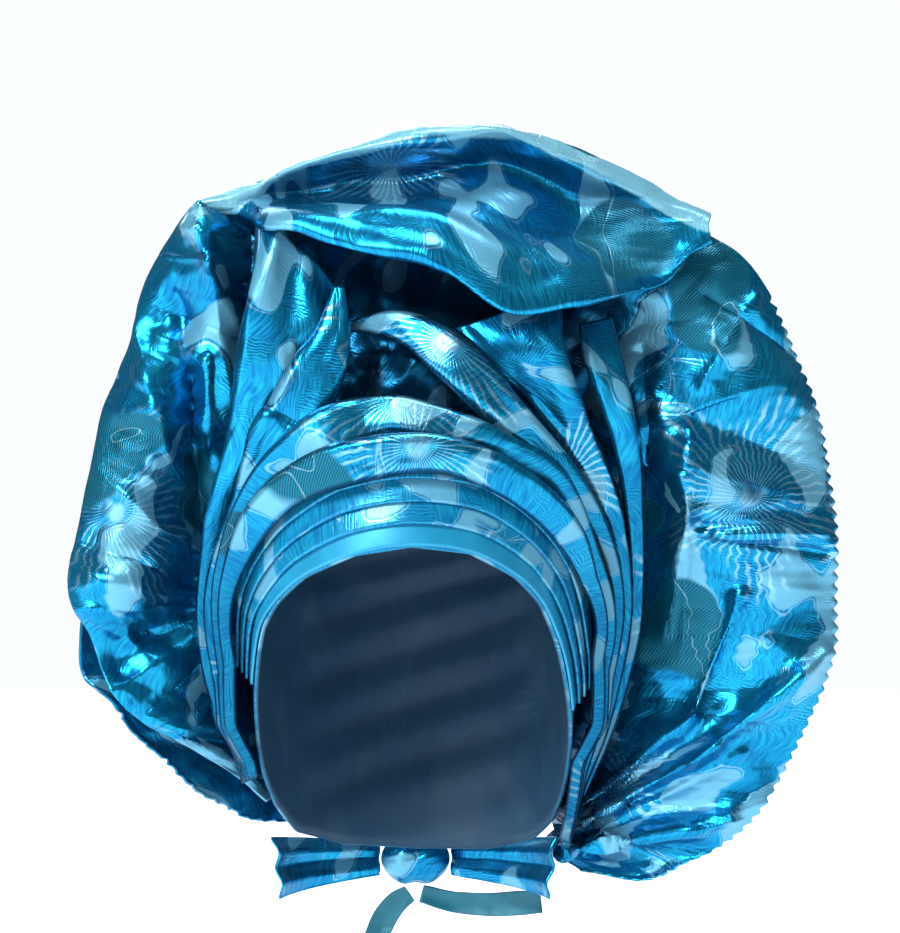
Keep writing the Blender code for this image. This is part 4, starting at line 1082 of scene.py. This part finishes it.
# Knot and tails
# The two ends are knotted once at the nape. What is left of them hangs out of the knot as two
# short tails, the right one the longer.
KNOT_PINCH = 0.18
KNOT_RIBS = 0.03
TAIL_WIDTH = 0.012
TAIL_LENGTH = 0.060
TAIL_CURL = 0.0012
TAIL_CREASE = 0.0004
TAIL_DARK = (0.004, 0.09, 0.14, 1)
TAIL_LIGHT = (0.01, 0.16, 0.22, 1)
TAILS = {
    # across, back, down, width
    "tail_right": (
        (0.05, 0.00, 0.00, 0.70),
        (0.30, 0.04, 0.07, 0.85),
        (0.60, 0.00, 0.09, 0.95),
        (0.85, -0.08, 0.07, 1.00),
        (1.03, -0.16, 0.05, 0.90),
    ),
    "tail_left": (
        (-0.05, 0.00, 0.00, 0.70),
        (-0.16, 0.04, 0.08, 0.90),
        (-0.26, 0.06, 0.22, 1.00),
        (-0.34, 0.04, 0.40, 0.95),
    ),
}

bpy.ops.object.select_all(action="DESELECT")
bpy.ops.mesh.primitive_uv_sphere_add(segments=96, ring_count=64, radius=0.5)
knot = bpy.context.object
knot.name = "nape_knot"
knot.data.name = "nape_knot"
for corner in knot.data.vertices:
    pinch = 1 - KNOT_PINCH * math.cos(4 * math.pi * corner.co.x) * (0.5 - abs(corner.co.x))
    around = 9 * math.atan2(corner.co.z, corner.co.y) + 5 * corner.co.x
    wound = 1 - KNOT_RIBS * abs(math.sin(around))
    corner.co.x = corner.co.x * KNOT_WIDTH
    corner.co.y = corner.co.y * KNOT_DEPTH * pinch * wound + knot_place[1]
    corner.co.z = corner.co.z * KNOT_HEIGHT * pinch * wound + knot_place[2]
knot.data.uv_layers[0].name = "Cloth"
laid = np.empty(len(knot.data.loops) * 2)
knot.data.uv_layers[0].data.foreach_get("uv", laid)
knot.data.uv_layers[0].data.foreach_set("uv", laid * 0.08)
bpy.ops.object.shade_smooth()
knot.data.materials.append(brocade("knot brocade", (0.1, 0.1), 40))
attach(knot, "root")
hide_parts("nape_knot")

tail_finish = plain_cloth("tail cloth", TAIL_DARK, TAIL_LIGHT, 0.45, 0.3)
for name, rows in TAILS.items():
    across, behind, drop, width = smooth(rows, 61).T
    hang = knot_place[2] - KNOT_HEIGHT / 2 - CLEAR / 4 - width[0] * TAIL_WIDTH / 2
    along = np.stack([np.gradient(across), np.gradient(drop)], axis=1)
    along /= np.linalg.norm(along, axis=1)[:, None]
    lines = []
    for share in np.linspace(-0.5, 0.5, 25):
        curl = TAIL_CURL * math.cos(math.pi * share)
        x = knot_place[0] + across * TAIL_LENGTH + along[:, 1] * share * width * TAIL_WIDTH
        y = knot_place[1] + behind * TAIL_LENGTH + curl
        z = hang - drop * TAIL_LENGTH + along[:, 0] * share * width * TAIL_WIDTH
        lines.append(np.stack([x, y, z], axis=-1))
    points = crumple(np.array(lines).transpose(1, 0, 2), TAIL_CREASE, 0.010, 61)
    tail = lay_cloth(name, points, tail_finish)


# Studio
# A plain pale floor under the head tie with a pale surrounding, four soft lamps round it, and a
# camera that looks straight at the front, as in the photograph.
FRAME_WIDTH_PX = 900
METRES_PER_PX = 0.0004735
VIEW_CENTRE_PX = (450, 466.5)
BROW_PX = (414, 600)
CAMERA_DISTANCE = 1.9
FLOOR_DEPTH = -0.21
PAPER = (0.86, 0.87, 0.88, 1)
COOL_WHITE = (0.93, 0.95, 1.0, 1)
LAMP_AIM = (0, 0, 0.05)

bpy.ops.object.select_all(action="DESELECT")
bpy.ops.mesh.primitive_plane_add(size=6.0, location=(0, 0, FLOOR_DEPTH))
floor = bpy.context.object
floor.name = "studio_floor"
paper = bpy.data.materials.new("studio paper")
paper.use_nodes = True
shader = paper.node_tree.nodes["Principled BSDF"]
shader.inputs["Base Color"].default_value = PAPER
shader.inputs["Roughness"].default_value = 0.9
shader.inputs["Emission Color"].default_value = COOL_WHITE
shader.inputs["Emission Strength"].default_value = 0.86
floor.data.materials.append(paper)

world = bpy.data.worlds.new("studio")
bpy.context.scene.world = world
world.use_nodes = True
tree = world.node_tree
background = tree.nodes["Background"]
background.inputs["Color"].default_value = COOL_WHITE
seen = add_node(tree, "ShaderNodeLightPath", {}).outputs["Is Camera Ray"]
strength = calc(tree, "MULTIPLY_ADD", seen, 0.85, 0.20)
tree.links.new(strength, background.inputs["Strength"])

LAMPS = {
    # place, size, watts
    "key": ((-0.8, -1.2, 1.0), 0.45, 33.0),
    "fill": ((-1.2, -1.0, -0.1), 0.7, 5.0),
    "top": ((0.1, -0.1, 1.3), 0.5, 12.0),
    "behind": ((-0.3, 1.3, 0.9), 1.0, 14.0),
}
for name, (place, size, watts) in LAMPS.items():
    lamp = bpy.data.lights.new(name, "AREA")
    lamp.size = size
    lamp.energy = watts
    lit = bpy.data.objects.new(name, lamp)
    bpy.context.scene.collection.objects.link(lit)
    lit.location = place
    lit.rotation_euler = (Vector(LAMP_AIM) - Vector(place)).to_track_quat("-Z", "Y").to_euler()

bpy.context.scene.view_settings.view_transform = "Standard"
camera_data = bpy.data.cameras.new("camera")
camera = bpy.data.objects.new("camera", camera_data)
bpy.context.scene.collection.objects.link(camera)
bpy.context.scene.camera = camera
centre_x = (VIEW_CENTRE_PX[0] - BROW_PX[0]) * METRES_PER_PX
centre_z = (BROW_PX[1] - VIEW_CENTRE_PX[1]) * METRES_PER_PX
camera.location = (centre_x, -CAMERA_DISTANCE, centre_z)
camera.rotation_euler = (math.radians(90), 0, 0)
camera_data.sensor_fit = "HORIZONTAL"
camera_data.lens = camera_data.sensor_width * CAMERA_DISTANCE / (FRAME_WIDTH_PX * METRES_PER_PX)
